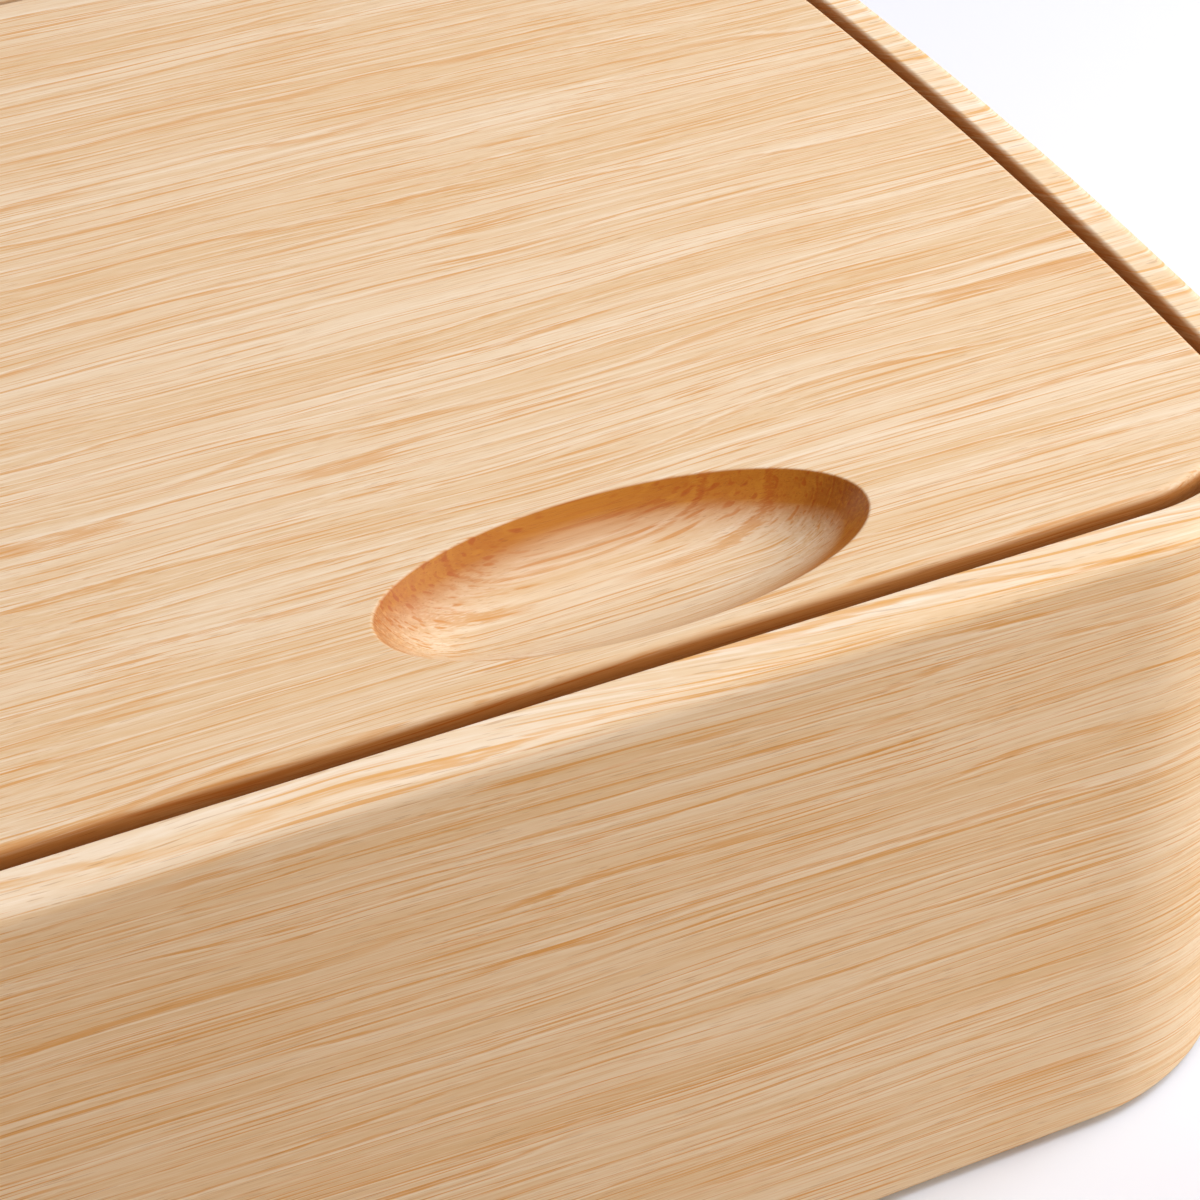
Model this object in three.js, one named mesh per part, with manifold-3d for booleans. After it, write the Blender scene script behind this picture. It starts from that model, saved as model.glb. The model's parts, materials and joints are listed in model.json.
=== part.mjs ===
// A wooden storage box: milled oak walls, an inset hinged lid with a finger scoop, a screwed-in base.
// Millimetres, +X along the box, +Y to the back, +Z up. The origin is on the floor, under the middle.

import * as THREE from 'three';
import { mergeVertices } from 'three/addons/utils/BufferGeometryUtils.js';
import Module from 'manifold-3d';

const wasm = await Module();
wasm.setup();

// Outer form
const boxWidth = 240;          // over the fullest point of the bowed sides
const boxDepth = 176;
const rimHeight = 83;          // floor to the top of the rim
const cornerRadius = 31;       // upright outer corners
const bowRadius = 900;         // the short sides swell outwards on this radius
const rimRound = 2.2;          // outer top edge of the rim
const rimEase = 0.5;           // inner top edge of the rim
const bottomEase = 0.8;        // outer bottom edge

// Walls: a thin rim stands above a ledge, and the wall below the ledge is thicker
const rimFront = 5.8;
const rimSide = 5.3;
const rimBack = 7.6;           // the hinge screws go in here
const openingCorner = 22;      // corner radius of the opening that takes the lid
const ledgeWidth = 6;
const cavityCorner = 16;

// Lid
const lidGap = 1.9;            // shadow gap all round
const lidProud = 0.5;          // lid's top above the rim
const lidThickness = 11;
const lidEase = 0.6;

// Finger scoop: a shallow oval bowl in the lid's top
const scoopFromRight = 75;     // from the lid's right edge at its fullest to the scoop's middle
const scoopLip = 2;            // wood left between the scoop and the lid's front edge
const scoopLength = 54.5;
const scoopWidth = 24;
const scoopDepth = 4.8;
const scoopSteepness = 2.6;    // 2 is a round wall, and more is steeper at the rim
const scoopFloorShare = 0.9;   // of the way from rim to middle, where the flat floor begins

// Base panel, let into a rebate from below
const panelThickness = 6;
const panelRebate = 7;         // how far the panel reaches under the wall
const panelRecess = 0.3;       // panel's underside above the wall's
const panelFit = 0.25;

// Felt liner on the base panel
const linerThickness = 2;
const linerFit = 0.4;
const linerEaseShare = 0.25;   // its top edge is rounded by this share of its thickness

// Feet, set into the base panel
const footRadius = 6.5;
const footStand = 1;           // below the walls
const footSink = 1;            // into the panel
const footInset = 22;          // from the panel's edge to a foot's middle

// Pads on the front ledge, which the lid comes down on
const padRadius = 1.8;
const padThickness = 0.8;
const padFromSide = 37.8;      // from the lid's side at its fullest to a pad's middle
const seatGap = 0.2;           // left between pieces that rest on each other

// Butt hinges: the axis lies in the middle of the rear gap, level with the rim
const hingeFromSide = 47.8;    // from the lid's side at its fullest to a hinge's middle
const hingeLength = 30;
const leafThickness = 1.1;
const leafHeight = 9;
const barrelRadius = 2.2;
const pinRadius = 1;
const pinFit = 0.15;
const knuckleGap = 0.25;
const leafFit = 0.2;           // mortise round a leaf
const swingGap = 0.3;          // round a knuckle that turns past its neighbour

// Hinge screws
const hingeScrewSpacing = 10;
const hingeScrewHead = 1.9;
const hingeScrewShank = 0.9;
const hingeScrewLength = 6;

// Base screws
const baseScrewHead = 2.4;
const baseScrewShank = 1.2;
const baseScrewLength = 12;

// Both kinds of screw
const screwFit = 0.15;
const screwPointShare = 2;     // length of the point, in shank radii
const slotWidth = 0.55;
const slotDepth = 0.45;

const overrun = 2;             // how far a cutter runs past what it cuts

// Counts
const cornerSteps = 10;
const bowSteps = 8;
const easeSteps = 3;
const roundSides = 16;
const scoopSides = 48;
const scoopSteps = 8;
const hingesPerBox = 2;
const knucklesPerHinge = 3;
const screwsPerLeaf = 3;

// Heights worked out from the sizes above
const wallBottom = footStand;
const panelBottom = wallBottom + panelRecess;
const panelTop = panelBottom + panelThickness;
const lidTop = rimHeight + lidProud;
const lidBottom = lidTop - lidThickness;
const ledgeTop = lidBottom - 2 * seatGap - padThickness;

// Materials
function finish(color, roughness, metalness) {
  return new THREE.MeshStandardMaterial({ color, roughness, metalness });
}

const oak = finish(0xedcfa9, 0.6, 0);
const oakBase = finish(0xe0c097, 0.7, 0);
const brass = finish(0xb8975a, 0.35, 1);
const steel = finish(0x9a9ca0, 0.35, 1);
const felt = finish(0x6b6862, 1, 0);
const rubber = finish(0x2b2a29, 0.9, 0);

// Plans. A plan is straight at front and back, and each short side is an arc that is fullest at y = 0.
const outerPlan = {
  side: boxWidth / 2,
  front: boxDepth / 2,
  back: boxDepth / 2,
  corner: cornerRadius,
  bow: bowRadius,
};
const openingPlan = {
  side: outerPlan.side - rimSide,
  front: outerPlan.front - rimFront,
  back: outerPlan.back - rimBack,
  corner: openingCorner,
  bow: bowRadius - rimSide,
};
const lidPlan = inset(openingPlan, lidGap);
const cavityPlan = { ...inset(openingPlan, ledgeWidth), corner: cavityCorner };
const rebatePlan = inset(cavityPlan, -panelRebate);
const panelPlan = inset(rebatePlan, panelFit);
const linerPlan = inset(cavityPlan, linerFit);

// The same plan moved in by a distance, or out by a negative one
function inset(plan, distance) {
  return {
    side: plan.side - distance,
    front: plan.front - distance,
    back: plan.back - distance,
    corner: plan.corner - distance,
    bow: plan.bow - distance,
  };
}

// Points along an arc, both ends included
function arc(x, y, radius, from, to, steps) {
  return Array.from({ length: steps + 1 }, (_, i) => {
    const angle = from + ((to - from) * i) / steps;
    return new THREE.Vector2(x + radius * Math.cos(angle), y + radius * Math.sin(angle));
  });
}

// Outline of a plan, anticlockwise from the front right corner
function outline(plan) {
  const bowCentre = plan.side - plan.bow;
  const reach = plan.bow - plan.corner;
  const frontY = plan.front - plan.corner;
  const backY = plan.back - plan.corner;
  const frontAngle = Math.asin(frontY / reach);
  const backAngle = Math.asin(backY / reach);
  const frontX = bowCentre + reach * Math.cos(frontAngle);
  const backX = bowCentre + reach * Math.cos(backAngle);
  const quarter = Math.PI / 2;
  const right = [
    ...arc(frontX, -frontY, plan.corner, -quarter, -frontAngle, cornerSteps),
    ...arc(bowCentre, 0, plan.bow, -frontAngle, backAngle, bowSteps).slice(1, -1),
    ...arc(backX, backY, plan.corner, backAngle, quarter, cornerSteps),
  ];
  const left = right.map((point) => new THREE.Vector2(-point.x, point.y)).reverse();
  return [...right, ...left];
}

// Closed geometry through rings of points, the lowest first, each anticlockwise from above
function loft(rings) {
  const count = rings[0].length;
  const positions = rings.flatMap((ring) => ring.flatMap((point) => point.toArray()));
  const cap = THREE.ShapeUtils.triangulateShape(rings[0], []);
  const last = (rings.length - 1) * count;
  const index = [];
  cap.forEach(([a, b, c]) => {
    index.push(a, c, b);
    index.push(last + a, last + b, last + c);
  });
  for (let k = 0; k < rings.length - 1; k += 1) {
    for (let i = 0; i < count; i += 1) {
      const a = k * count + i;
      const b = k * count + ((i + 1) % count);
      index.push(a, b, b + count);
      index.push(a, b + count, a + count);
    }
  }
  const geometry = new THREE.BufferGeometry();
  geometry.setAttribute('position', new THREE.Float32BufferAttribute(positions, 3));
  geometry.setIndex(index);
  return geometry;
}

// Closed geometry through a stack of levels, each a plan and a height
function stack(levels) {
  return loft(levels.map(({ plan, z }) => (
    outline(plan).map((point) => new THREE.Vector3(point.x, point.y, z))
  )));
}

// Steps round an edge, as shares of its quarter turn: 0 is on the flat and 1 on the upright face
function easeTurns(ease) {
  return ease > 0 ? Array.from({ length: easeSteps + 1 }, (_, i) => i / easeSteps) : [1];
}

// Prism over a plan with its bottom and top edges rounded
function prism(plan, bottom, top, easeBottom = 0, easeTop = 0) {
  const level = (ease, turn, z, up) => {
    const angle = (Math.PI / 2) * turn;
    return { plan: inset(plan, ease * (1 - Math.sin(angle))), z: z + up * ease * (1 - Math.cos(angle)) };
  };
  return stack([
    ...easeTurns(easeBottom).map((turn) => level(easeBottom, turn, bottom, 1)),
    ...easeTurns(easeTop).reverse().map((turn) => level(easeTop, turn, top, -1)),
  ]);
}

// Round solid about Z from a profile of [radius, height] points that starts and ends on the axis
function turned(profile, sides = roundSides) {
  const points = profile.map(([radius, height]) => new THREE.Vector2(radius, height));
  return new THREE.LatheGeometry(points, sides).rotateX(Math.PI / 2);
}

// Cylinder along X or Z from one place to another
function rod(axis, radius, from, to) {
  const geometry = turned([[0, from], [radius, from], [radius, to], [0, to]]);
  return axis === 'x' ? geometry.rotateY(Math.PI / 2) : geometry;
}

function block([x0, y0, z0], [x1, y1, z1]) {
  const geometry = new THREE.BoxGeometry(x1 - x0, y1 - y0, z1 - z0);
  return geometry.translate((x0 + x1) / 2, (y0 + y1) / 2, (z0 + z1) / 2);
}

// A geometry as a solid that can be cut and joined
function solid(geometry) {
  const bare = geometry.clone();
  bare.deleteAttribute('normal');
  bare.deleteAttribute('uv');
  const merged = mergeVertices(bare);
  const index = Array.from(merged.index.array);
  const kept = [];
  for (let i = 0; i < index.length; i += 3) {
    const [a, b, c] = index.slice(i, i + 3);
    if (a !== b && b !== c && c !== a) kept.push(a, b, c);
  }
  return new wasm.Manifold(new wasm.Mesh({
    numProp: 3,
    vertProperties: new Float32Array(merged.attributes.position.array),
    triVerts: new Uint32Array(kept),
  }));
}

function joined(geometries) {
  return geometries.map(solid).reduce((sum, next) => sum.add(next));
}

function cut(base, cutters) {
  return cutters.map(solid).reduce((rest, cutter) => rest.subtract(cutter), base);
}

function piece(name, body, material) {
  const { vertProperties, triVerts } = body.getMesh();
  const geometry = new THREE.BufferGeometry();
  geometry.setAttribute('position', new THREE.Float32BufferAttribute(vertProperties, 3));
  geometry.setIndex(Array.from(triVerts));
  geometry.computeVertexNormals();
  const mesh = new THREE.Mesh(geometry, material);
  mesh.name = name;
  return mesh;
}

function group(...children) {
  const result = new THREE.Group();
  result.add(...children);
  return result;
}

// Evenly spaced places, centred on zero
function spaced(count, spacing) {
  return Array.from({ length: count }, (_, i) => (i - (count - 1) / 2) * spacing);
}

// Countersunk screw, head face at z = 0, point downwards, with a slot
function screw(head, shank, length) {
  const cone = head - shank;
  const point = screwPointShare * shank;
  const turnedScrew = turned([[0, -length], [shank, point - length], [shank, -cone], [head, 0], [0, 0]]);
  const reach = head + overrun;
  const slot = block([-reach, -slotWidth / 2, -slotDepth], [reach, slotWidth / 2, overrun]);
  return { screw: turnedScrew, slot };
}

function screwHole(head, shank, length) {
  const cone = head - shank;
  const bottom = -length - screwFit;
  return turned([
    [0, bottom],
    [shank + screwFit, bottom],
    [shank + screwFit, -cone],
    [head + screwFit, 0],
    [head + screwFit, overrun],
    [0, overrun],
  ]);
}

// One screw at each place, numbered from 1
function screws(name, head, shank, length, places, material) {
  return group(...places.map((place, i) => {
    const { screw: turnedScrew, slot } = screw(head, shank, length);
    return piece(`${name}_${i + 1}`, cut(solid(place(turnedScrew)), [place(slot)]), material);
  }));
}

// Hinge places. A hinge is made about its own axis, which runs along X.
const axisY = openingPlan.back - lidGap / 2;
const axisZ = rimHeight;
const hingePlaces = spaced(hingesPerBox, 2 * (lidPlan.side - hingeFromSide));
const leafFace = lidGap / 2;
const leafBack = leafFace + leafThickness;
const knuckleLength = hingeLength / knucklesPerHinge;
const screwDrop = (barrelRadius + swingGap + leafHeight) / 2;

// side is 1 for the wall's leaf and -1 for the lid's
function leafScrewPlaces(side) {
  return spaced(screwsPerLeaf, hingeScrewSpacing).map((x) => (geometry) => (
    geometry.clone().rotateX((side * Math.PI) / 2).translate(x, side * leafFace, -screwDrop)
  ));
}

function leafScrewHoles(side) {
  const hole = screwHole(hingeScrewHead, hingeScrewShank, hingeScrewLength);
  return leafScrewPlaces(side).map((place) => place(hole));
}

function leafBlock(side, margin, top) {
  const [near, far] = [side * (leafFace - margin), side * (leafBack + margin)].sort((a, b) => a - b);
  const half = hingeLength / 2 + margin;
  return block([-half, near, -leafHeight - margin], [half, far, top]);
}

// Spans of the knuckles along the axis, made longer at both inner ends by a margin
function knuckleSpans(margin, endMargin) {
  return Array.from({ length: knucklesPerHinge }, (_, k) => {
    const from = k * knuckleLength - hingeLength / 2;
    const to = from + knuckleLength;
    return [
      k > 0 ? from - margin : from - endMargin,
      k < knucklesPerHinge - 1 ? to + margin : to + endMargin,
    ];
  });
}

// The wall's leaf has the first knuckle and every other one after it, and the lid's leaf has the rest
function hingeLeaf(name, side) {
  const own = (_, k) => (k % 2 === 0) === (side > 0);
  const other = (_, k) => !own(_, k);
  const knuckles = knuckleSpans(-knuckleGap / 2, 0)
    .filter(own)
    .map(([from, to]) => rod('x', barrelRadius, from, to));
  const clearances = knuckleSpans(knuckleGap / 2, overrun)
    .filter(other)
    .map(([from, to]) => rod('x', barrelRadius + swingGap, from, to));
  const plate = cut(solid(leafBlock(side, 0, 0)), clearances);
  const half = hingeLength / 2 + overrun;
  const bore = rod('x', pinRadius + pinFit, -half, half);
  return piece(name, cut(plate.add(joined(knuckles)), [bore, ...leafScrewHoles(side)]), brass);
}

// What a hinge takes out of the wall or the lid: the barrel's bed, the leaf's mortise, the pilot holes
function hingeRecess(side, x) {
  const half = hingeLength / 2 + leafFit;
  const bed = rod('x', barrelRadius + swingGap, -half, half);
  const mortise = leafBlock(side, leafFit, barrelRadius + overrun);
  return [bed, mortise, ...leafScrewHoles(side)].map((geometry) => geometry.translate(x, axisY, axisZ));
}

function hinge(label, x) {
  const half = hingeLength / 2;
  const parts = group(
    hingeLeaf(`${label}_hinge_wall_leaf`, 1),
    hingeLeaf(`${label}_hinge_lid_leaf`, -1),
    piece(`${label}_hinge_pin`, solid(rod('x', pinRadius, -half, half)), steel),
    ...[1, -1].map((side) => screws(
      `${label}_hinge_${side > 0 ? 'wall' : 'lid'}_screw`,
      hingeScrewHead,
      hingeScrewShank,
      hingeScrewLength,
      leafScrewPlaces(side),
      brass,
    )),
  );
  parts.position.set(x, axisY, axisZ);
  return parts;
}

// Base screws go up through the panel's margin into the wall, at the corners and at mid-length
const baseScrewInset = panelRebate / 2 - panelFit;
const baseScrewX = panelPlan.side - panelPlan.corner;
const baseScrewSpots = [-1, 0, 1].flatMap((side) => [
  [side * baseScrewX, baseScrewInset - panelPlan.front],
  [side * baseScrewX, panelPlan.back - baseScrewInset],
]);
const baseScrewPlaces = baseScrewSpots.map(([x, y]) => (geometry) => (
  geometry.clone().rotateX(Math.PI).translate(x, y, panelBottom)
));
const baseScrewHole = screwHole(baseScrewHead, baseScrewShank, baseScrewLength);
const baseScrewHoles = baseScrewPlaces.map((place) => place(baseScrewHole));

// Feet near the four corners
const footX = panelPlan.side - footInset;
const footSpots = {
  front_left: [-footX, footInset - panelPlan.front],
  front_right: [footX, footInset - panelPlan.front],
  back_left: [-footX, panelPlan.back - footInset],
  back_right: [footX, panelPlan.back - footInset],
};
const footTop = panelBottom + footSink - seatGap;

function bodyWalls() {
  const outer = solid(prism(outerPlan, wallBottom, rimHeight, bottomEase, rimRound));
  const opening = stack([
    { plan: openingPlan, z: ledgeTop },
    ...easeTurns(rimEase).reverse().map((turn) => {
      const angle = (Math.PI / 2) * turn;
      return {
        plan: inset(openingPlan, rimEase * (Math.sin(angle) - 1)),
        z: rimHeight - rimEase * (1 - Math.cos(angle)),
      };
    }),
    { plan: inset(openingPlan, -rimEase), z: rimHeight + overrun },
  ]);
  return piece('body_walls', cut(outer, [
    opening,
    prism(cavityPlan, wallBottom - overrun, ledgeTop + overrun),
    prism(rebatePlan, wallBottom - overrun, panelTop + seatGap),
    ...baseScrewHoles,
    ...hingePlaces.flatMap((x) => hingeRecess(1, x)),
  ]), oak);
}

function basePanel() {
  const feet = Object.values(footSpots).map(([x, y]) => (
    rod('z', footRadius + panelFit, panelBottom - overrun, panelBottom + footSink).translate(x, y, 0)
  ));
  const panel = solid(prism(panelPlan, panelBottom, panelTop));
  return piece('base_panel', cut(panel, [...baseScrewHoles, ...feet]), oakBase);
}

function baseLiner() {
  const bottom = panelTop + seatGap;
  const ease = linerThickness * linerEaseShare;
  return piece('base_liner', solid(prism(linerPlan, bottom, bottom + linerThickness, 0, ease)), felt);
}

function feet() {
  return group(...Object.entries(footSpots).map(([label, [x, y]]) => (
    piece(`foot_${label}`, solid(rod('z', footRadius, 0, footTop).translate(x, y, 0)), rubber)
  )));
}

// Halfway between the lid's front edge and the cavity
function lidPads() {
  const y = -(lidPlan.front + cavityPlan.front) / 2;
  const bottom = ledgeTop + seatGap;
  const x = lidPlan.side - padFromSide;
  const disc = rod('z', padRadius, bottom, bottom + padThickness);
  return group(
    piece('lid_pad_left', solid(disc.clone().translate(-x, y, 0)), felt),
    piece('lid_pad_right', solid(disc.clone().translate(x, y, 0)), felt),
  );
}

// Bowl under an oval rim in the lid's top, as steep at its ends as along its sides
function scoop() {
  const x = lidPlan.side - scoopFromRight;
  const y = scoopLip + scoopWidth / 2 - lidPlan.front;
  const oval = (inward, z) => Array.from({ length: scoopSides }, (_, i) => {
    const angle = (2 * Math.PI * i) / scoopSides;
    return new THREE.Vector3(
      x + (scoopLength / 2 - inward) * Math.cos(angle),
      y + (scoopWidth / 2 - inward) * Math.sin(angle),
      z,
    );
  });
  const bowl = Array.from({ length: scoopSteps + 1 }, (_, i) => {
    const share = scoopFloorShare * (1 - i / scoopSteps);
    return oval((share * scoopWidth) / 2, lidTop - scoopDepth * (1 - (1 - share) ** scoopSteepness));
  });
  return loft([...bowl, oval(0, lidTop + overrun)]);
}

function lidPanel() {
  return piece('lid_panel', cut(solid(prism(lidPlan, lidBottom, lidTop, lidEase, lidEase)), [
    scoop(),
    ...hingePlaces.flatMap((x) => hingeRecess(-1, x)),
  ]), oak);
}

export default group(
  bodyWalls(),
  basePanel(),
  screws('base_screw', baseScrewHead, baseScrewShank, baseScrewLength, baseScrewPlaces, steel),
  baseLiner(),
  feet(),
  lidPads(),
  lidPanel(),
  hinge('left', hingePlaces[0]),
  hinge('right', hingePlaces[1]),
);
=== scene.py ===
"""Looks of a wooden storage box: milled oak walls, a hinged lid with a finger scoop, a screwed-in base.

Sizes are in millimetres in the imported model's frame: +X along the box, +Y to the hinged back, +Z up.
Meshes are turned to metres when they are made.
"""

import json
import logging
import math
from collections.abc import Iterable, Sequence
from dataclasses import dataclass
from enum import Enum

import bmesh
import bpy
from mathutils import Euler, Matrix, Vector


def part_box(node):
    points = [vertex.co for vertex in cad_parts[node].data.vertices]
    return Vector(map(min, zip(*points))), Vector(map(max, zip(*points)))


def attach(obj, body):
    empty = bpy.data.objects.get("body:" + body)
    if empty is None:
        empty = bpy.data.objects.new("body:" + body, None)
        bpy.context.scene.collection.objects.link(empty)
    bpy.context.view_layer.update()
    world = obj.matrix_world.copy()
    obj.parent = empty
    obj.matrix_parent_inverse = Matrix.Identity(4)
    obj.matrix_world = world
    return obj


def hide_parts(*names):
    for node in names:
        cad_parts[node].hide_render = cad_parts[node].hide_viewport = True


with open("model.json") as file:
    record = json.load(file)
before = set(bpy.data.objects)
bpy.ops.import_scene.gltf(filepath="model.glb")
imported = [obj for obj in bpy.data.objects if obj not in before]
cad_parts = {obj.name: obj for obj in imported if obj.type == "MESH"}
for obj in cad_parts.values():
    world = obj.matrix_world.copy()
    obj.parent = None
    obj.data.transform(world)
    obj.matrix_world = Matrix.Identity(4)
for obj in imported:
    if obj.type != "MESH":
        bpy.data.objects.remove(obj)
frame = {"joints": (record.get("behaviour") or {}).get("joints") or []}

log = logging.getLogger("storage_box")

MM = 0.001
SMOOTH_LIMIT = math.radians(30)
SEAT = 0.2                         # left between pieces that rest on each other
HOLD = 0.12                        # from an edge's rounding to the rings that keep the faces flat
WELD = 0.0005                      # points that a cut leaves closer together than this are joined
FEET = ("front_left", "front_right", "back_left", "back_right")
SIDES = ("left", "right")
END_GRAIN = "end_grain"
# Attribute that holds painted shade: hollows and upright faces of the wood come out darker and warmer
PAINTED_SHADE = "oil"

Colour = tuple[float, float, float, float]
Spot = tuple[float, float]
Point = tuple[float, float, float]
Face = tuple[int, ...]
Shape = tuple[list[Point], list[Face]]


class Body(Enum):
    """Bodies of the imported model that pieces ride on."""

    BOX = "box"
    LID = "lid"


class Slot(Enum):
    """Material slots of the record."""

    OAK_BODY = "oak_body"
    OAK_LID = "oak_lid"
    OAK_BASE = "oak_base"
    BRASS = "brass"
    STEEL = "steel"
    FELT = "felt"
    RUBBER = "foot_rubber"


class Leaf(Enum):
    """The two leaves of a hinge, by the side of its axis along Y that they lie on."""

    WALL = 1
    LID = -1

    @property
    def label(self) -> str:
        """Gives the word for it in the names of pieces and nodes."""
        return self.name.lower()

    @property
    def other(self) -> "Leaf":
        """Gives the leaf that it folds against."""
        return Leaf(-self.value)

    @property
    def body(self) -> Body:
        """Gives the body that it rides on."""
        return Body.BOX if self is Leaf.WALL else Body.LID


def srgb(code: str) -> Colour:
    """Turns an sRGB hex colour to linear light.

    Args:
        code: Colour such as "#edcfa9".

    Returns:
        Linear red, green, blue and an alpha of 1.
    """
    parts = [int(code[i : i + 2], 16) / 255 for i in (1, 3, 5)]
    linear = [c / 12.92 if c <= 0.04045 else ((c + 0.055) / 1.055) ** 2.4 for c in parts]
    return (linear[0], linear[1], linear[2], 1.0)


def add(
    tree: bpy.types.NodeTree,
    kind: str,
    inputs: dict[int | str, object] | None = None,
    **settings: object,
) -> bpy.types.Node:
    """Adds a node with its settings, its input values and its links.

    Args:
        tree: Tree that takes the node.
        kind: Type of the node.
        inputs: For each input, by number or by name among the enabled ones, a value, an output socket,
            or a node whose first enabled output is meant.
        **settings: Properties of the node.

    Returns:
        The new node.
    """
    node = tree.nodes.new(kind)
    for name, value in settings.items():
        setattr(node, name, value)
    for key, value in (inputs or {}).items():
        if isinstance(key, int):
            socket = node.inputs[key]
        else:
            socket = next(s for s in node.inputs if s.enabled and s.name == key)
        if isinstance(value, bpy.types.Node):
            value = next(s for s in value.outputs if s.enabled)
        if isinstance(value, bpy.types.NodeSocket):
            tree.links.new(value, socket)
        else:
            socket.default_value = value
    return node


def blend(
    tree: bpy.types.NodeTree,
    share: bpy.types.Node | bpy.types.NodeSocket,
    first: bpy.types.Node | Colour,
    second: bpy.types.Node | Colour,
    kind: str = "MIX",
) -> bpy.types.Node:
    """Mixes two colours.

    Args:
        tree: Tree that takes the node.
        share: Share of the second colour.
        first: First colour.
        second: Second colour.
        kind: "MIX", or "MULTIPLY" where the second takes light away from the first.

    Returns:
        The mixing node.
    """
    return add(tree, "ShaderNodeMix", {"Factor": share, "A": first, "B": second}, data_type="RGBA",
               blend_type=kind)


def finish_shader(tree: bpy.types.NodeTree, inputs: dict[int | str, object]) -> None:
    """Ends a material's tree with a principled shader."""
    shader = add(tree, "ShaderNodeBsdfPrincipled", inputs)
    add(tree, "ShaderNodeOutputMaterial", {"Surface": shader})


def node_box(name: str) -> tuple[Vector, Vector]:
    """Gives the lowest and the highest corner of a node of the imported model, in millimetres."""
    low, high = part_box(name)
    return low / MM, high / MM


def blank_material(name: str) -> tuple[bpy.types.Material, bpy.types.NodeTree]:
    """Makes a material with an empty node tree.

    Args:
        name: Name of the real material.

    Returns:
        The material and its tree.
    """
    material = bpy.data.materials.new(name)
    material.use_nodes = True
    material.node_tree.nodes.clear()
    return material, material.node_tree


@dataclass(frozen=True)
class Streaks:
    """Streaks in wood: noise drawn out along the grain, and the soft step that makes a mask of it."""

    size: Point                    # millimetres along the grain, across the rings and along them
    low: float = 0.0               # noise that gives 0
    high: float = 1.0              # noise that gives the full strength
    strength: float = 1.0
    detail: float = 0.0            # octaves of finer noise

    def noise(self, tree: bpy.types.NodeTree, place: bpy.types.Node) -> bpy.types.Node:
        """Makes the noise.

        Args:
            tree: Tree of the material.
            place: Node that gives the place in the grain.

        Returns:
            Noise node whose first output is the streaks' strength.
        """
        scaled = add(tree, "ShaderNodeVectorMath", {0: place, 1: self.size}, operation="DIVIDE")
        return add(tree, "ShaderNodeTexNoise", {"Vector": scaled, "Scale": 1.0, "Detail": self.detail})

    def mask(self, tree: bpy.types.NodeTree, value: bpy.types.Node) -> bpy.types.Node:
        """Makes a mask of the noise, or of a value that holds it, by a soft step that may fall.

        Args:
            tree: Tree of the material.
            value: Node whose first output is stepped.

        Returns:
            Node that gives the mask.
        """
        return add(tree, "ShaderNodeMapRange", {
            "Value": value, "From Min": self.low, "From Max": self.high, "To Max": self.strength,
        }, interpolation_type="SMOOTHSTEP")


@dataclass(frozen=True)
class Sway:
    """Slow sway of the grain by noise."""

    size: Point                    # millimetres along the grain, across the rings and along them
    reach: float                   # how far the grain moves to and fro, square to its length

    def move(self, tree: bpy.types.NodeTree, place: bpy.types.Node) -> bpy.types.Node:
        """Moves a place by the sway.

        Args:
            tree: Tree of the material.
            place: Node that gives the place.

        Returns:
            Node that gives the moved place.
        """
        noise = Streaks(self.size, detail=1.0).noise(tree, place)
        centred = add(tree, "ShaderNodeVectorMath", {0: noise.outputs["Color"], 1: (0.5, 0.5, 0.5)},
                      operation="SUBTRACT")
        return add(tree, "ShaderNodeVectorMath", {
            0: centred, 1: (0.0, self.reach, self.reach), 2: place,
        }, operation="MULTIPLY_ADD")


@dataclass(frozen=True)
class RingLine:
    """Broken line that marks each growth ring."""

    offset: float                  # from the ring's place, in ring spacings
    width: float                   # in the wood's line widths
    dashes: Streaks                # noise that breaks it up


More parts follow.
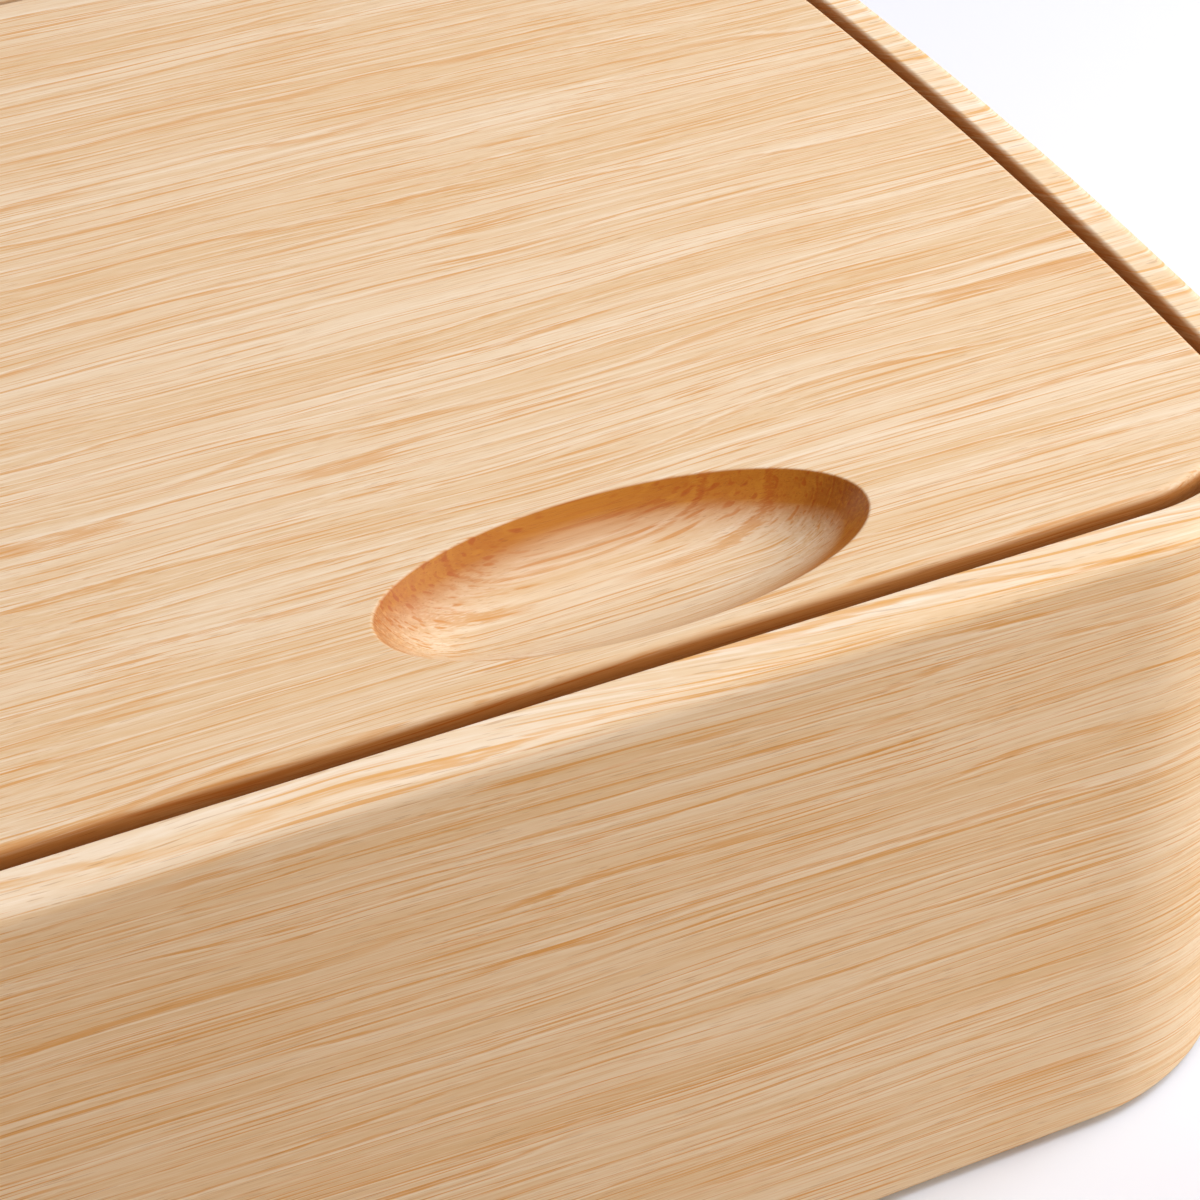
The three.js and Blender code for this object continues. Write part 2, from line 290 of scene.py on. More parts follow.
@dataclass(frozen=True)
class Oak:
    """Rift-sawn white oak, planed, sanded and oiled matt.

    Rows of large vessels mark the growth rings as thin orange lines, some with a whitish strand beside
    them. Fine fibres, faint lines and short dark pores run along the board between them. The grain is
    solid, so it runs on round every edge. Cross-cut wood is coarser and darker. Painted shade, stored on a
    piece, darkens and warms its wood in hollows and on upright faces.
    """

    name: str
    pale: str = "#e8d4b5"          # wood between the rings
    tan: str = "#dcbb8c"           # slow, slightly deeper bands
    vessel: str = "#d3974a"        # lines of vessels
    fleck: str = "#f2e7d2"         # whitish strands
    pore: str = "#a0661c"
    end: str = "#9e5f1f"           # cross-cut wood
    soaked: str = "#c98e30"        # painted shade: what is taken from the wood's colour where shade is stored
    ring_tilt: float = 45.0        # degrees between the rings and the board's face
    grain_turn: float = 0.0        # degrees between the grain and the board's length
    ring_spacing: float = 1.9
    breadth: float = 1.0           # factor on all widths along the rings
    line_width: float = 0.3        # from the middle of a ring's line to its edge
    line_weight: float = 0.5       # what the middle of a ring's line adds to its dashes
    origin: Point = (0.0, 0.0, 0.0)
    roughness: float = 0.4
    shine: float = 0.2             # specular level of a thin matt oil
    relief: float = 0.05           # height of the fibres
    relief_strength: float = 0.3
    end_relief: float = 1.5        # height of cross-cut wood, in fibres
    ring_swing: float = 6.0        # how far the rings' spacing swings, and over what distance
    slow_sway: Sway = Sway((90.0, 30.0, 30.0), 4.5)
    fast_sway: Sway = Sway((26.0, 6.0, 6.0), 0.7)
    # Rows and lines lie in the rings, so they are thin across the rings and wider along them
    bands: Streaks = Streaks((150.0, 5.0, 7.0), 0.32, 0.68, 0.7, detail=1.0)
    soft: Streaks = Streaks((60.0, 0.8, 1.4), 0.42, 0.68, 0.6, detail=1.0)
    rows: Streaks = Streaks((32.0, 0.21, 0.7), 0.61, 0.76, 0.75)
    lines: Streaks = Streaks((32.0, 0.13, 0.4), 0.6, 0.78, 0.4)
    white: Streaks = Streaks((40.0, 0.22, 0.7), 0.58, 0.74, 0.45)
    fibre: Streaks = Streaks((2.6, 0.14, 0.14), 0.45, 0.75, 0.2, detail=1.0)
    pale_fibre: Streaks = Streaks((2.6, 0.14, 0.14), 0.55, 0.25, 0.2, detail=1.0)
    pores: Streaks = Streaks((4.5, 0.1, 0.1), 0.7, 0.78, 0.3)
    wander: Streaks = Streaks((40.0, 0.37, 1.0), detail=1.0)
    fading: Streaks = Streaks((19.0, 0.29, 1.0), 0.28, 0.58, detail=1.0)
    ring_line: RingLine = RingLine(0.0, 1.0, Streaks((6.0, 0.16, 0.16), 0.74, 1.0, 0.6, detail=1.0))
    strand: RingLine = RingLine(0.12, 0.8, Streaks((11.0, 0.2, 0.2), 0.74, 1.0, 0.45, detail=1.0))
    # Cut ends of vessels, 2.2 to a millimetre each way
    mottle: Streaks = Streaks((1 / 2.2, 1 / 2.2, 1 / 2.2), 0.33, 0.6, 0.7, detail=2.0)

    def material(self) -> bpy.types.Material:
        """Builds the material from solid noise in the piece's own coordinates.

        Returns:
            The material.
        """
        material, tree = blank_material(self.name)
        grain = self.grain(tree)
        fibre = self.fibre.noise(tree, grain)
        pores = self.pores.mask(tree, self.pores.noise(tree, grain))
        strands, ring_lines = self.rings(tree, grain)
        cross_cut = add(tree, "ShaderNodeAttribute", attribute_name=END_GRAIN)
        ends = add(tree, "ShaderNodeMath", {
            0: cross_cut.outputs["Fac"], 1: self.mottle.mask(tree, self.mottle.noise(tree, grain)),
        }, operation="MULTIPLY")
        colour = srgb(self.pale)
        for mask, code in (
            (self.bands.mask(tree, self.bands.noise(tree, grain)), self.tan),
            (self.soft.mask(tree, self.soft.noise(tree, grain)), self.tan),
            (self.fibre.mask(tree, fibre), self.tan),
            (self.pale_fibre.mask(tree, fibre), self.fleck),
            (self.white.mask(tree, self.white.noise(tree, grain)), self.fleck),
            (self.lines.mask(tree, self.lines.noise(tree, grain)), self.vessel),
            (self.rows.mask(tree, self.rows.noise(tree, grain)), self.vessel),
            (strands, self.fleck),
            (ring_lines, self.vessel),
            (pores, self.pore),
            (ends, self.end),
        ):
            colour = blend(tree, mask, colour, srgb(code))
        # Painted shade: the stored share multiplies the wood by the shade colour
        hollow = add(tree, "ShaderNodeAttribute", attribute_name=PAINTED_SHADE)
        oiled = blend(tree, hollow.outputs["Fac"], colour, srgb(self.soaked), "MULTIPLY")
        pitted = add(tree, "ShaderNodeMath", {0: pores, 1: -1.0, 2: fibre}, operation="MULTIPLY_ADD")
        height = add(tree, "ShaderNodeMath", {0: ends, 1: self.end_relief, 2: pitted},
                     operation="MULTIPLY_ADD")
        bump = add(tree, "ShaderNodeBump", {
            "Strength": self.relief_strength, "Distance": self.relief * MM, "Height": height,
        })
        finish_shader(tree, {
            "Base Color": oiled,
            "Roughness": self.roughness,
            "Specular IOR Level": self.shine,
            "Normal": bump,
        })
        return material

    def grain(self, tree: bpy.types.NodeTree) -> bpy.types.Node:
        """Gives the place in the grain: millimetres along it, across the rings and along them.

        Args:
            tree: Tree of the material.

        Returns:
            Node that gives the place, which sways slowly and then a little faster.
        """
        coordinates = add(tree, "ShaderNodeTexCoord")
        board = add(tree, "ShaderNodeMapping", {
            "Vector": coordinates.outputs["Object"],
            "Location": self.origin,
            "Rotation": (math.radians(self.ring_tilt), 0.0, math.radians(self.grain_turn)),
            "Scale": (1 / MM, 1 / MM, 1 / MM),
        })
        spread = add(tree, "ShaderNodeVectorMath", {0: board, 1: (1.0, 1.0, self.breadth)},
                     operation="DIVIDE")
        return self.fast_sway.move(tree, self.slow_sway.move(tree, spread))

    def rings(self, tree: bpy.types.NodeTree, grain: bpy.types.Node) -> list[bpy.types.Node]:
        """Makes the lines that mark the growth rings.

        Args:
            tree: Tree of the material.
            grain: Node that gives the place in the grain.

        Returns:
            Masks of the whitish strands and of the orange lines that they lie beside.
        """
        place = add(tree, "ShaderNodeSeparateXYZ", {0: grain})
        swing = add(tree, "ShaderNodeTexNoise", {
            "W": place.outputs["Y"], "Scale": 1 / self.ring_swing, "Detail": 1.0,
        }, noise_dimensions="1D")
        across = add(tree, "ShaderNodeMath", {0: swing, 1: self.ring_swing, 2: place.outputs["Y"]},
                     operation="MULTIPLY_ADD")
        ring = add(tree, "ShaderNodeMath", {0: across, 1: self.ring_spacing}, operation="DIVIDE")
        number = add(tree, "ShaderNodeMath", {0: ring}, operation="FLOOR")
        share = add(tree, "ShaderNodeMath", {0: ring}, operation="FRACT")
        # Each ring wanders by itself and fades in and out along the board
        along = add(tree, "ShaderNodeCombineXYZ", {"X": place.outputs["X"], "Y": number})
        middle = self.wander.mask(tree, self.wander.noise(tree, along))
        strength = self.fading.mask(tree, self.fading.noise(tree, along))
        off = add(tree, "ShaderNodeMath", {0: share, 1: middle}, operation="SUBTRACT")
        masks = []
        for line in (self.strand, self.ring_line):
            aside = add(tree, "ShaderNodeMath", {0: off, 1: line.offset}, operation="SUBTRACT")
            far = add(tree, "ShaderNodeMath", {0: aside}, operation="ABSOLUTE")
            near = add(tree, "ShaderNodeMapRange", {
                "Value": far, "From Min": line.width * self.line_width / self.ring_spacing,
                "From Max": 0.0, "To Max": self.line_weight,
            }, interpolation_type="SMOOTHSTEP")
            dashes = line.dashes.noise(tree, grain)
            both = add(tree, "ShaderNodeMath", {0: near, 1: dashes}, operation="ADD")
            broken = line.dashes.mask(tree, both)
            masks.append(add(tree, "ShaderNodeMath", {0: broken, 1: strength}, operation="MULTIPLY"))
        return masks


@dataclass(frozen=True)
class Metal:
    """Turned or stamped metal, brushed along X, with a soft sheen."""

    name: str
    colour: str
    roughness: float
    brush: Point = (0.4, 8.0, 8.0)     # brush marks in a millimetre along X, Y and Z
    depth_share: float = 0.8           # colour left in the marks
    uneven: float = 0.08               # how far the roughness strays
    relief: float = 0.01
    relief_strength: float = 0.2

    def material(self) -> bpy.types.Material:
        """Builds the material with fine brush marks in its colour, its gloss and its relief.

        Returns:
            The material.
        """
        material, tree = blank_material(self.name)
        coordinates = add(tree, "ShaderNodeTexCoord")
        stretched = add(tree, "ShaderNodeVectorMath", {
            0: coordinates.outputs["Object"], 1: tuple(v / MM for v in self.brush),
        }, operation="MULTIPLY")
        brushed = add(tree, "ShaderNodeTexNoise", {"Vector": stretched, "Scale": 1.0, "Detail": 2.0})
        red, green, blue, alpha = srgb(self.colour)
        share = self.depth_share
        darker = (red * share, green * share, blue * share, alpha)
        rough = add(tree, "ShaderNodeMapRange", {
            "Value": brushed,
            "To Min": self.roughness - self.uneven,
            "To Max": self.roughness + self.uneven,
        })
        bump = add(tree, "ShaderNodeBump", {
            "Strength": self.relief_strength, "Distance": self.relief * MM, "Height": brushed,
        })
        finish_shader(tree, {
            "Base Color": blend(tree, brushed, srgb(self.colour), darker),
            "Metallic": 1.0,
            "Roughness": rough,
            "Normal": bump,
        })
        return material


@dataclass(frozen=True)
class WoolFelt:
    """Pressed wool felt: matt, with a tangle of short fibres and a faint fuzz at grazing angles."""

    name: str = "pressed_wool_felt"
    dark: str = "#5f5b55"
    light: str = "#7d7972"
    fibres: float = 1.6                # tangles in a millimetre
    bend: float = 1.8                  # how far the fibres curl
    patches: float = 0.12              # thicker spots in a millimetre
    patch_share: float = 0.4
    low: float = 0.45                  # tangle that shows the dark colour
    high: float = 0.95                 # tangle that shows the light one
    roughness: float = 0.95
    fuzz: float = 0.25
    relief: float = 0.15
    relief_strength: float = 0.8

    def material(self) -> bpy.types.Material:
        """Builds the material from a tangle of bent fibres over slow patches.

        Returns:
            The material.
        """
        material, tree = blank_material(self.name)
        place = add(tree, "ShaderNodeTexCoord").outputs["Object"]
        fibres = add(tree, "ShaderNodeTexNoise", {
            "Vector": place, "Scale": self.fibres / MM, "Detail": 4.0, "Distortion": self.bend,
        })
        patches = add(tree, "ShaderNodeTexNoise", {
            "Vector": place, "Scale": self.patches / MM, "Detail": 2.0,
        })
        both = add(tree, "ShaderNodeMath", {0: patches, 1: self.patch_share, 2: fibres},
                   operation="MULTIPLY_ADD")
        share = add(tree, "ShaderNodeMapRange", {
            "Value": both, "From Min": self.low, "From Max": self.high,
        })
        bump = add(tree, "ShaderNodeBump", {
            "Strength": self.relief_strength, "Distance": self.relief * MM, "Height": fibres,
        })
        finish_shader(tree, {
            "Base Color": blend(tree, share, srgb(self.dark), srgb(self.light)),
            "Roughness": self.roughness,
            "Sheen Weight": self.fuzz,
            "Normal": bump,
        })
        return material


@dataclass(frozen=True)
class Rubber:
    """Moulded dark rubber: matt, with a fine grain from the mould."""

    name: str = "moulded_rubber"
    colour: str = "#2b2a29"
    worn: str = "#3a3937"
    grain: float = 3.0                 # grains in a millimetre
    roughness: float = 0.75
    relief: float = 0.05
    relief_strength: float = 0.4

    def material(self) -> bpy.types.Material:
        """Builds the material with a fine mould grain.

        Returns:
            The material.
        """
        material, tree = blank_material(self.name)
        coordinates = add(tree, "ShaderNodeTexCoord")
        grain = add(tree, "ShaderNodeTexNoise", {
            "Vector": coordinates.outputs["Object"], "Scale": self.grain / MM, "Detail": 3.0,
        })
        bump = add(tree, "ShaderNodeBump", {
            "Strength": self.relief_strength, "Distance": self.relief * MM, "Height": grain,
        })
        finish_shader(tree, {
            "Base Color": blend(tree, grain, srgb(self.colour), srgb(self.worn)),
            "Roughness": self.roughness,
            "Normal": bump,
        })
        return material


@dataclass(frozen=True)
class Plan:
    """Outline with straight front and back, round corners and bowed short sides, fullest at y = 0."""

    side: float                    # reach to the right and to the left at y = 0
    front: float                   # reach to the front
    back: float                    # reach to the back
    corner: float                  # radius of the corners
    bow: float                     # radius of the short sides

    def inset(self, distance: float) -> "Plan":
        """Moves the whole outline in by a distance."""
        return Plan(
            self.side - distance,
            self.front - distance,
            self.back - distance,
            self.corner - distance,
            self.bow - distance,
        )

    def outline(self, corner_steps: int = 28, bow_steps: int = 36, hold: float = 1.0) -> list[Spot]:
        """Gives the outline's points, anticlockwise from the front right corner.

        Args:
            corner_steps: Steps round each corner.
            bow_steps: Steps along each short side.
            hold: Distance from a corner's end to the extra point that keeps the straight part flat.

        Returns:
            Points in the plane.
        """
        reach = self.bow - self.corner
        centre = self.side - self.bow
        front_y = self.front - self.corner
        back_y = self.back - self.corner
        front_angle = math.asin(front_y / reach)
        back_angle = math.asin(back_y / reach)
        front_x = centre + reach * math.cos(front_angle)
        back_x = centre + reach * math.cos(back_angle)
        quarter = math.pi / 2
        right = [
            (front_x - hold, -self.front),
            *arc(front_x, -front_y, self.corner, -quarter, -front_angle, corner_steps),
            *arc(centre, 0.0, self.bow, -front_angle, back_angle, bow_steps)[1:-1],
            *arc(back_x, back_y, self.corner, back_angle, quarter, corner_steps),
            (back_x - hold, self.back),
        ]
        return right + [(-x, y) for x, y in reversed(right)]


def arc(x: float, y: float, radius: float, start: float, end: float, steps: int) -> list[Spot]:
    """Gives points along an arc, both ends included.

    Args:
        x: Centre along X.
        y: Centre along Y.
        radius: Radius of the arc.
        start: First angle in radians.
        end: Last angle in radians.
        steps: Number of steps between them.

    Returns:
        Points in the plane.
    """
    angles = [start + (end - start) * i / steps for i in range(steps + 1)]
    return [(x + radius * math.cos(a), y + radius * math.sin(a)) for a in angles]


@dataclass(frozen=True)
class Level:
    """One ring of a loft: a plan at a height."""

    plan: Plan
    height: float

    def ring(self) -> list[Point]:
        """Gives the ring's points."""
        return [(x, y, self.height) for x, y in self.plan.outline()]


def rounded(plan: Plan, height: float, radius: float, steps: int, up: int, inward: int = 1) -> list[Level]:
    """Rounds the edge between a flat and an upright face, from the flat to the upright.

    Args:
        plan: Plan of the upright face.
        height: Height of the flat.
        radius: Radius of the edge.
        steps: Steps round it.
        up: 1 where the flat is the underside, -1 where it is the top.
        inward: 1 where the flat lies inside the plan, -1 where it lies round it.

    Returns:
        Levels of the edge with one held ring on each side.
    """
    turns = [math.pi / 2 * i / steps for i in range(steps + 1)]
    edge = [
        Level(plan.inset(inward * radius * (1 - math.sin(t))), height + up * radius * (1 - math.cos(t)))
        for t in turns
    ]
    before = Level(plan.inset(inward * (radius + HOLD)), height)
    after = Level(plan, height + up * (radius + HOLD))
    return [before, *edge, after]


def link(name: str, data: bpy.types.ID) -> bpy.types.Object:
    """Makes an object and puts it in the scene.

    Args:
        name: Its name.
        data: Its mesh, light or camera.

    Returns:
        The object.
    """
    thing = bpy.data.objects.new(name, data)
    bpy.context.scene.collection.objects.link(thing)
    return thing


def ring_faces(count: int, rings: int, closed: bool) -> list[Face]:
    """Joins rings of points into four-sided faces.

    Args:
        count: Points in a ring.
        rings: Number of rings.
        closed: Whether the last ring is joined to the first.

    Returns:
        Faces as tuples of point numbers.
    """
    faces = []
    for k in range(rings if closed else rings - 1):
        low = k * count
        high = ((k + 1) % rings) * count
        for i in range(count):
            j = (i + 1) % count
            faces.append((low + i, low + j, high + j, high + i))
    return faces


def make_object(name: str, points: Sequence[Point], faces: Iterable[Face]) -> bpy.types.Object:
    """Makes an object from points in millimetres, with its faces turned outwards.

    Args:
        name: Name of the piece.
        points: Its points.
        faces: Its faces.

    Returns:
        The linked object.
    """
    mesh = bpy.data.meshes.new(name)
    mesh.from_pydata([Vector(p) * MM for p in points], [], list(faces))
    work = bmesh.new()
    work.from_mesh(mesh)
    bmesh.ops.recalc_face_normals(work, faces=work.faces)
    work.to_mesh(mesh)
    work.free()
    return link(name, mesh)


def loft(name: str, levels: Sequence[Level], closed: bool) -> bpy.types.Object:
    """Joins levels to a piece.

    Args:
        name: Name of the piece.
        levels: Its rings in order.
        closed: Whether the last is joined to the first, or both ends get a flat face.

    Returns:
        The linked object.
    """
    rings = [level.ring() for level in levels]
    points = [p for ring in rings for p in ring]
    count = len(rings[0])
    faces = ring_faces(count, len(rings), closed)
    if not closed:
        faces.append(tuple(range(count)))
        faces.append(tuple(range(len(points) - count, len(points))))
    return make_object(name, points, faces)


def smooth(thing: bpy.types.Object) -> None:
    """Shades a piece smooth, with sharp edges where its faces meet at more than the limit."""
    thing.data.shade_smooth()
    thing.data.set_sharp_from_angle(angle=SMOOTH_LIMIT)


def store(thing: bpy.types.Object, name: str, values: Sequence[float]) -> None:
    """Stores a value for each corner of a piece's faces."""
    attribute = thing.data.attributes.new(name, "FLOAT", "CORNER")
    attribute.data.foreach_set("value", values)


def mark_end_grain(thing: bpy.types.Object) -> None:
    """Stores how squarely each corner cuts the grain along X, squared: 0 along it and 1 across it."""
    store(thing, END_GRAIN, [corner.vector.x ** 2 for corner in thing.data.corner_normals])


@dataclass(frozen=True)
class Oiling:
    """Painted shade on the faces of a hollowed piece: steep ones in the hollow get the most.

    The scoop's far wall, which faces the front, gets more, and so does its right end, which faces away
    from the lamps on the right.
    """

    hollow: float = 8.0            # painted shade on an upright face in the hollow
    outside: float = 0.85          # painted shade on an upright face outside it, such as the lid's sides in the gap
    curve: float = 1.45            # how fast it falls on flatter faces
    plain_share: float = 0.55
    # More painted shade on the scoop's far wall, which faces the front, and how narrowly it keeps to it
    ring_share: float = 0.5
    ring_power: int = 8
    # More painted shade on the scoop's right end, which faces away from the lamps on the right
    torn_share: float = 1.4

    def mark(self, thing: bpy.types.Object, middle: Vector) -> None:
        """Stores the painted shade of each face's corners.

        Args:
            thing: The piece.
            middle: Middle of the hollow.
        """
        mesh = thing.data
        facing_front = Vector((0.0, -1.0, 1.0)).normalized()
        values = []
        for loop, corner in zip(mesh.loops, mesh.corner_normals):
            normal = corner.vector
            steepness = (1 - abs(normal.z)) ** self.curve
            place = mesh.vertices[loop.vertex_index].co - middle * MM
            share = self.outside
            # Painted shade in the hollow, with more on the far wall and on the right end
            if normal.x * place.x + normal.y * place.y < 0:
                ring = self.ring_share * max(0.0, normal.dot(facing_front)) ** self.ring_power
                right_end = self.torn_share * max(0.0, -normal.x)
                share = self.hollow * (self.plain_share + ring + right_end)
            values.append(min(1.0, steepness * share))
        store(thing, PAINTED_SHADE, values)


def lathe(profile: Sequence[Spot], sides: int = 64) -> Shape:
    """Turns a profile about Z.

    Args:
        profile: Points of radius and height, the first and last on the axis.
        sides: Sides round the axis.

    Returns:
        Points and faces of the closed solid.
    """
    inner = profile[1:-1]
    points = [
        (radius * math.cos(2 * math.pi * i / sides), radius * math.sin(2 * math.pi * i / sides), height)
        for radius, height in inner
        for i in range(sides)
    ]
    faces = ring_faces(sides, len(inner), closed=False)
    first = len(points)
    points += [(0.0, 0.0, profile[0][1]), (0.0, 0.0, profile[-1][1])]
    last_ring = (len(inner) - 1) * sides
    for i in range(sides):
        j = (i + 1) % sides
        faces.append((first, j, i))
        faces.append((first + 1, last_ring + i, last_ring + j))
    return points, faces


def rod(profile: Sequence[Spot], sides: int = 64) -> Shape:
    """Turns a profile about X instead, with its heights along X."""
    points, faces = lathe(profile, sides)
    return [(z, x, y) for x, y, z in points], faces


def cylinder(radius: float, start: float, end: float) -> list[Spot]:
    """Gives the profile of a plain cylinder between two heights."""
    return [(0.0, start), (radius, start), (radius, end), (0.0, end)]


def block(low: Point, high: Point) -> Shape:
    """Gives a box between two corners.

    Args:
        low: Lowest corner.
        high: Highest corner.

    Returns:
        Points and faces.
    """
    points = [(x, y, z) for z in (low[2], high[2]) for x, y in (
        (low[0], low[1]), (high[0], low[1]), (high[0], high[1]), (low[0], high[1]),
    )]
    faces = [(0, 3, 2, 1), (4, 5, 6, 7), (0, 1, 5, 4), (1, 2, 6, 5), (2, 3, 7, 6), (3, 0, 4, 7)]
    return points, faces


def placed(shape: Shape, matrix: Matrix) -> Shape:
    """Moves a shape.

    Args:
        shape: Points and faces.
        matrix: Where it goes.

    Returns:
        Moved points and the same faces.
    """
    points, faces = shape
    return [tuple(matrix @ Vector(p)) for p in points], faces


def merged(shapes: Iterable[Shape]) -> Shape:
    """Puts shapes that don't touch into one.

    Args:
        shapes: Points and faces of each.

    Returns:
        Points and faces of all.
    """
    points: list[Point] = []
    faces: list[Face] = []
    for some_points, some_faces in shapes:
        first = len(points)
        points += some_points
        faces += [tuple(first + i for i in face) for face in some_faces]
    return points, faces


def boolean(thing: bpy.types.Object, cutters: Iterable[Shape], operation: str) -> None:
    """Cuts shapes out of a piece, or joins them to it, one after the other.

    Args:
        thing: The piece.
        cutters: Shapes of points and faces.
        operation: "DIFFERENCE" or "UNION".
    """
    for shape in cutters:
        cutter = make_object("cutter", *shape)
        modifier = thing.modifiers.new("cut", "BOOLEAN")
        modifier.operation = operation
        modifier.solver = "EXACT"
        modifier.object = cutter
        apply_modifiers(thing)
        weld(thing)
        bpy.data.objects.remove(cutter)


def apply_modifiers(thing: bpy.types.Object) -> None:
    """Replaces a piece's mesh by what its modifiers make of it.

    Args:
        thing: The piece.
    """
    bpy.context.view_layer.update()
    depsgraph = bpy.context.evaluated_depsgraph_get()
    mesh = bpy.data.meshes.new_from_object(thing.evaluated_get(depsgraph))
    thing.modifiers.clear()
    thing.data = mesh


def weld(thing: bpy.types.Object) -> None:
    """Joins points that a cut left all but on top of each other, so that the piece stays closed.

    Args:
        thing: The piece.
    """
    work = bmesh.new()
    work.from_mesh(thing.data)
    bmesh.ops.remove_doubles(work, verts=work.verts, dist=WELD * MM)
    work.to_mesh(thing.data)
    work.free()


def finish_piece(
    thing: bpy.types.Object,
    material: bpy.types.Material,
    body: Body,
    nodes: Sequence[str],
) -> None:
    """Dresses a piece, puts it on its body and lets it stand for its nodes.

    Args:
        thing: The piece.
        material: Its material.
        body: Body that it rides on.
        nodes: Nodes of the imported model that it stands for.
    """
    thing.data.materials.clear()
    thing.data.materials.append(material)
    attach(thing, body.value)
    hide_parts(*nodes)
    log.info("%s: %d faces, for %s", thing.name, len(thing.data.polygons), ", ".join(nodes))


def eased_disc(radius: float, low: float, high: float, ease: float, steps: int = 5) -> list[Spot]:
    """Gives the profile of a disc with round edges.

    Args:
        radius: Its radius.
        low: Height of its underside.
        high: Height of its top.
        ease: Radius of its edges.
        steps: Steps round each edge.

    Returns:
        Points of radius and height.
    """
    turns = [math.pi / 2 * i / steps for i in range(steps + 1)]
    lower = [(radius - ease * (1 - math.sin(a)), low + ease * (1 - math.cos(a))) for a in turns]
    upper = [(radius - ease * (1 - math.cos(a)), high - ease * (1 - math.sin(a))) for a in turns]
    hold = radius - 1.5 * ease
    return [(0.0, low), (hold, low), *lower, *upper, (hold, high), (0.0, high)]


def slab(name: str, plan: Plan, low: float, high: float, low_ease: float,
         high_ease: float) -> bpy.types.Object:
    """Makes a slab over a plan with its bottom and top edges rounded.

    Args:
        name: Name of the piece.
        plan: Its plan.
        low: Height of its underside.
        high: Height of its top.
        low_ease: Radius of its lower edge.
        high_ease: Radius of its upper edge.

    Returns:
        The linked object.
    """
    return loft(name, [
        *rounded(plan, low, low_ease, steps=4, up=1),
        *reversed(rounded(plan, high, high_ease, steps=6, up=-1)),
    ], closed=False)


@dataclass(frozen=True)
class Sizes:
    """Sizes that several sub-assemblies share."""

    outer: Plan
    opening: Plan
    lid: Plan
    cavity: Plan
    rebate: Plan
    panel: Plan
    liner: Plan
    rim_top: float
    wall_bottom: float
    lid_top: float
    lid_bottom: float
    ledge_top: float
    panel_top: float
    panel_bottom: float

    @staticmethod
    def from_frame() -> "Sizes":
        """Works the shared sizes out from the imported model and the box's own radii and fits.

        Returns:
            The sizes.
        """
        walls_low, walls_high = node_box("body_walls")
        lid_low, lid_high = node_box("lid_panel")
        panel_low, panel_high = node_box("base_panel")
        pad_low, _ = node_box("lid_pad_left")
        bow = 900.0
        outer_corner = 31.0
        opening_corner = 22.0
        cavity_corner = 16.0
        lid_gap = 1.9
        ledge = 6.0
        rebate = 7.0
        panel_fit = 0.25
        liner_fit = 0.4
        outer = Plan(walls_high.x, -walls_low.y, walls_high.y, outer_corner, bow)
        lid_bow = bow - (walls_high.x - lid_high.x)
        lid = Plan(lid_high.x, -lid_low.y, lid_high.y, opening_corner - lid_gap, lid_bow)
        opening = lid.inset(-lid_gap)
        ledge_plan = opening.inset(ledge)
        cavity = Plan(ledge_plan.side, ledge_plan.front, ledge_plan.back, cavity_corner, ledge_plan.bow)
        return Sizes(
            outer=outer,
            opening=opening,
            lid=lid,
            cavity=cavity,
            rebate=cavity.inset(-rebate),
            panel=cavity.inset(-rebate + panel_fit),
            liner=cavity.inset(liner_fit),
            rim_top=walls_high.z,
            wall_bottom=walls_low.z,
            lid_top=lid_high.z,
            lid_bottom=lid_low.z,
            ledge_top=pad_low.z - SEAT,
            panel_top=panel_high.z,
            panel_bottom=panel_low.z,
        )


@dataclass(frozen=True)
class Screw:
    """Countersunk slotted screw, its head's face at z = 0 and its point down."""

    head: float                    # radius of its face
    shank: float                   # radius
    length: float
    fit: float = 0.15              # room round it in its hole
    slot_width: float = 0.55
    slot_depth: float = 0.45
    head_edge: float = 0.12        # upright rim of the head, above its cone
    tip: float = 0.1               # height of the blunt tip
    tip_share: float = 0.2         # its radius, as a share of the shank's
    head_bevel: float = 0.05
    over: float = 2.0              # how far the cutters run out of the screw
    sides: int = 40

    def hole(self) -> Shape:
        """Gives the hole that takes the screw.

        Returns:
            Points and faces.
        """
        bottom = -self.length - self.fit
        return lathe([
            (0.0, bottom),
            (self.shank + self.fit, bottom),
            (self.shank + self.fit, self.shank - self.head),
            (self.head + self.fit, 0.0),
            (self.head + self.fit, self.over),
            (0.0, self.over),
        ], self.sides)

    def build(self, name: str) -> bpy.types.Object:
        """Makes one screw at the origin.

        Args:
            name: Its name.

        Returns:
            The linked object.
        """
        screw = make_object(name, *lathe([
            (0.0, -self.length),
            (self.shank * self.tip_share, self.tip - self.length),
            (self.shank, 2 * self.shank - self.length),
            (self.shank, self.shank - self.head),
            (self.head, -self.head_edge),
            (self.head - self.head_bevel, 0.0),
            (0.0, 0.0),
        ], self.sides))
        reach = self.head + self.over
        half = self.slot_width / 2
        slot = block((-reach, -half, -self.slot_depth), (reach, half, self.over))
        boolean(screw, [slot], "DIFFERENCE")
        return screw


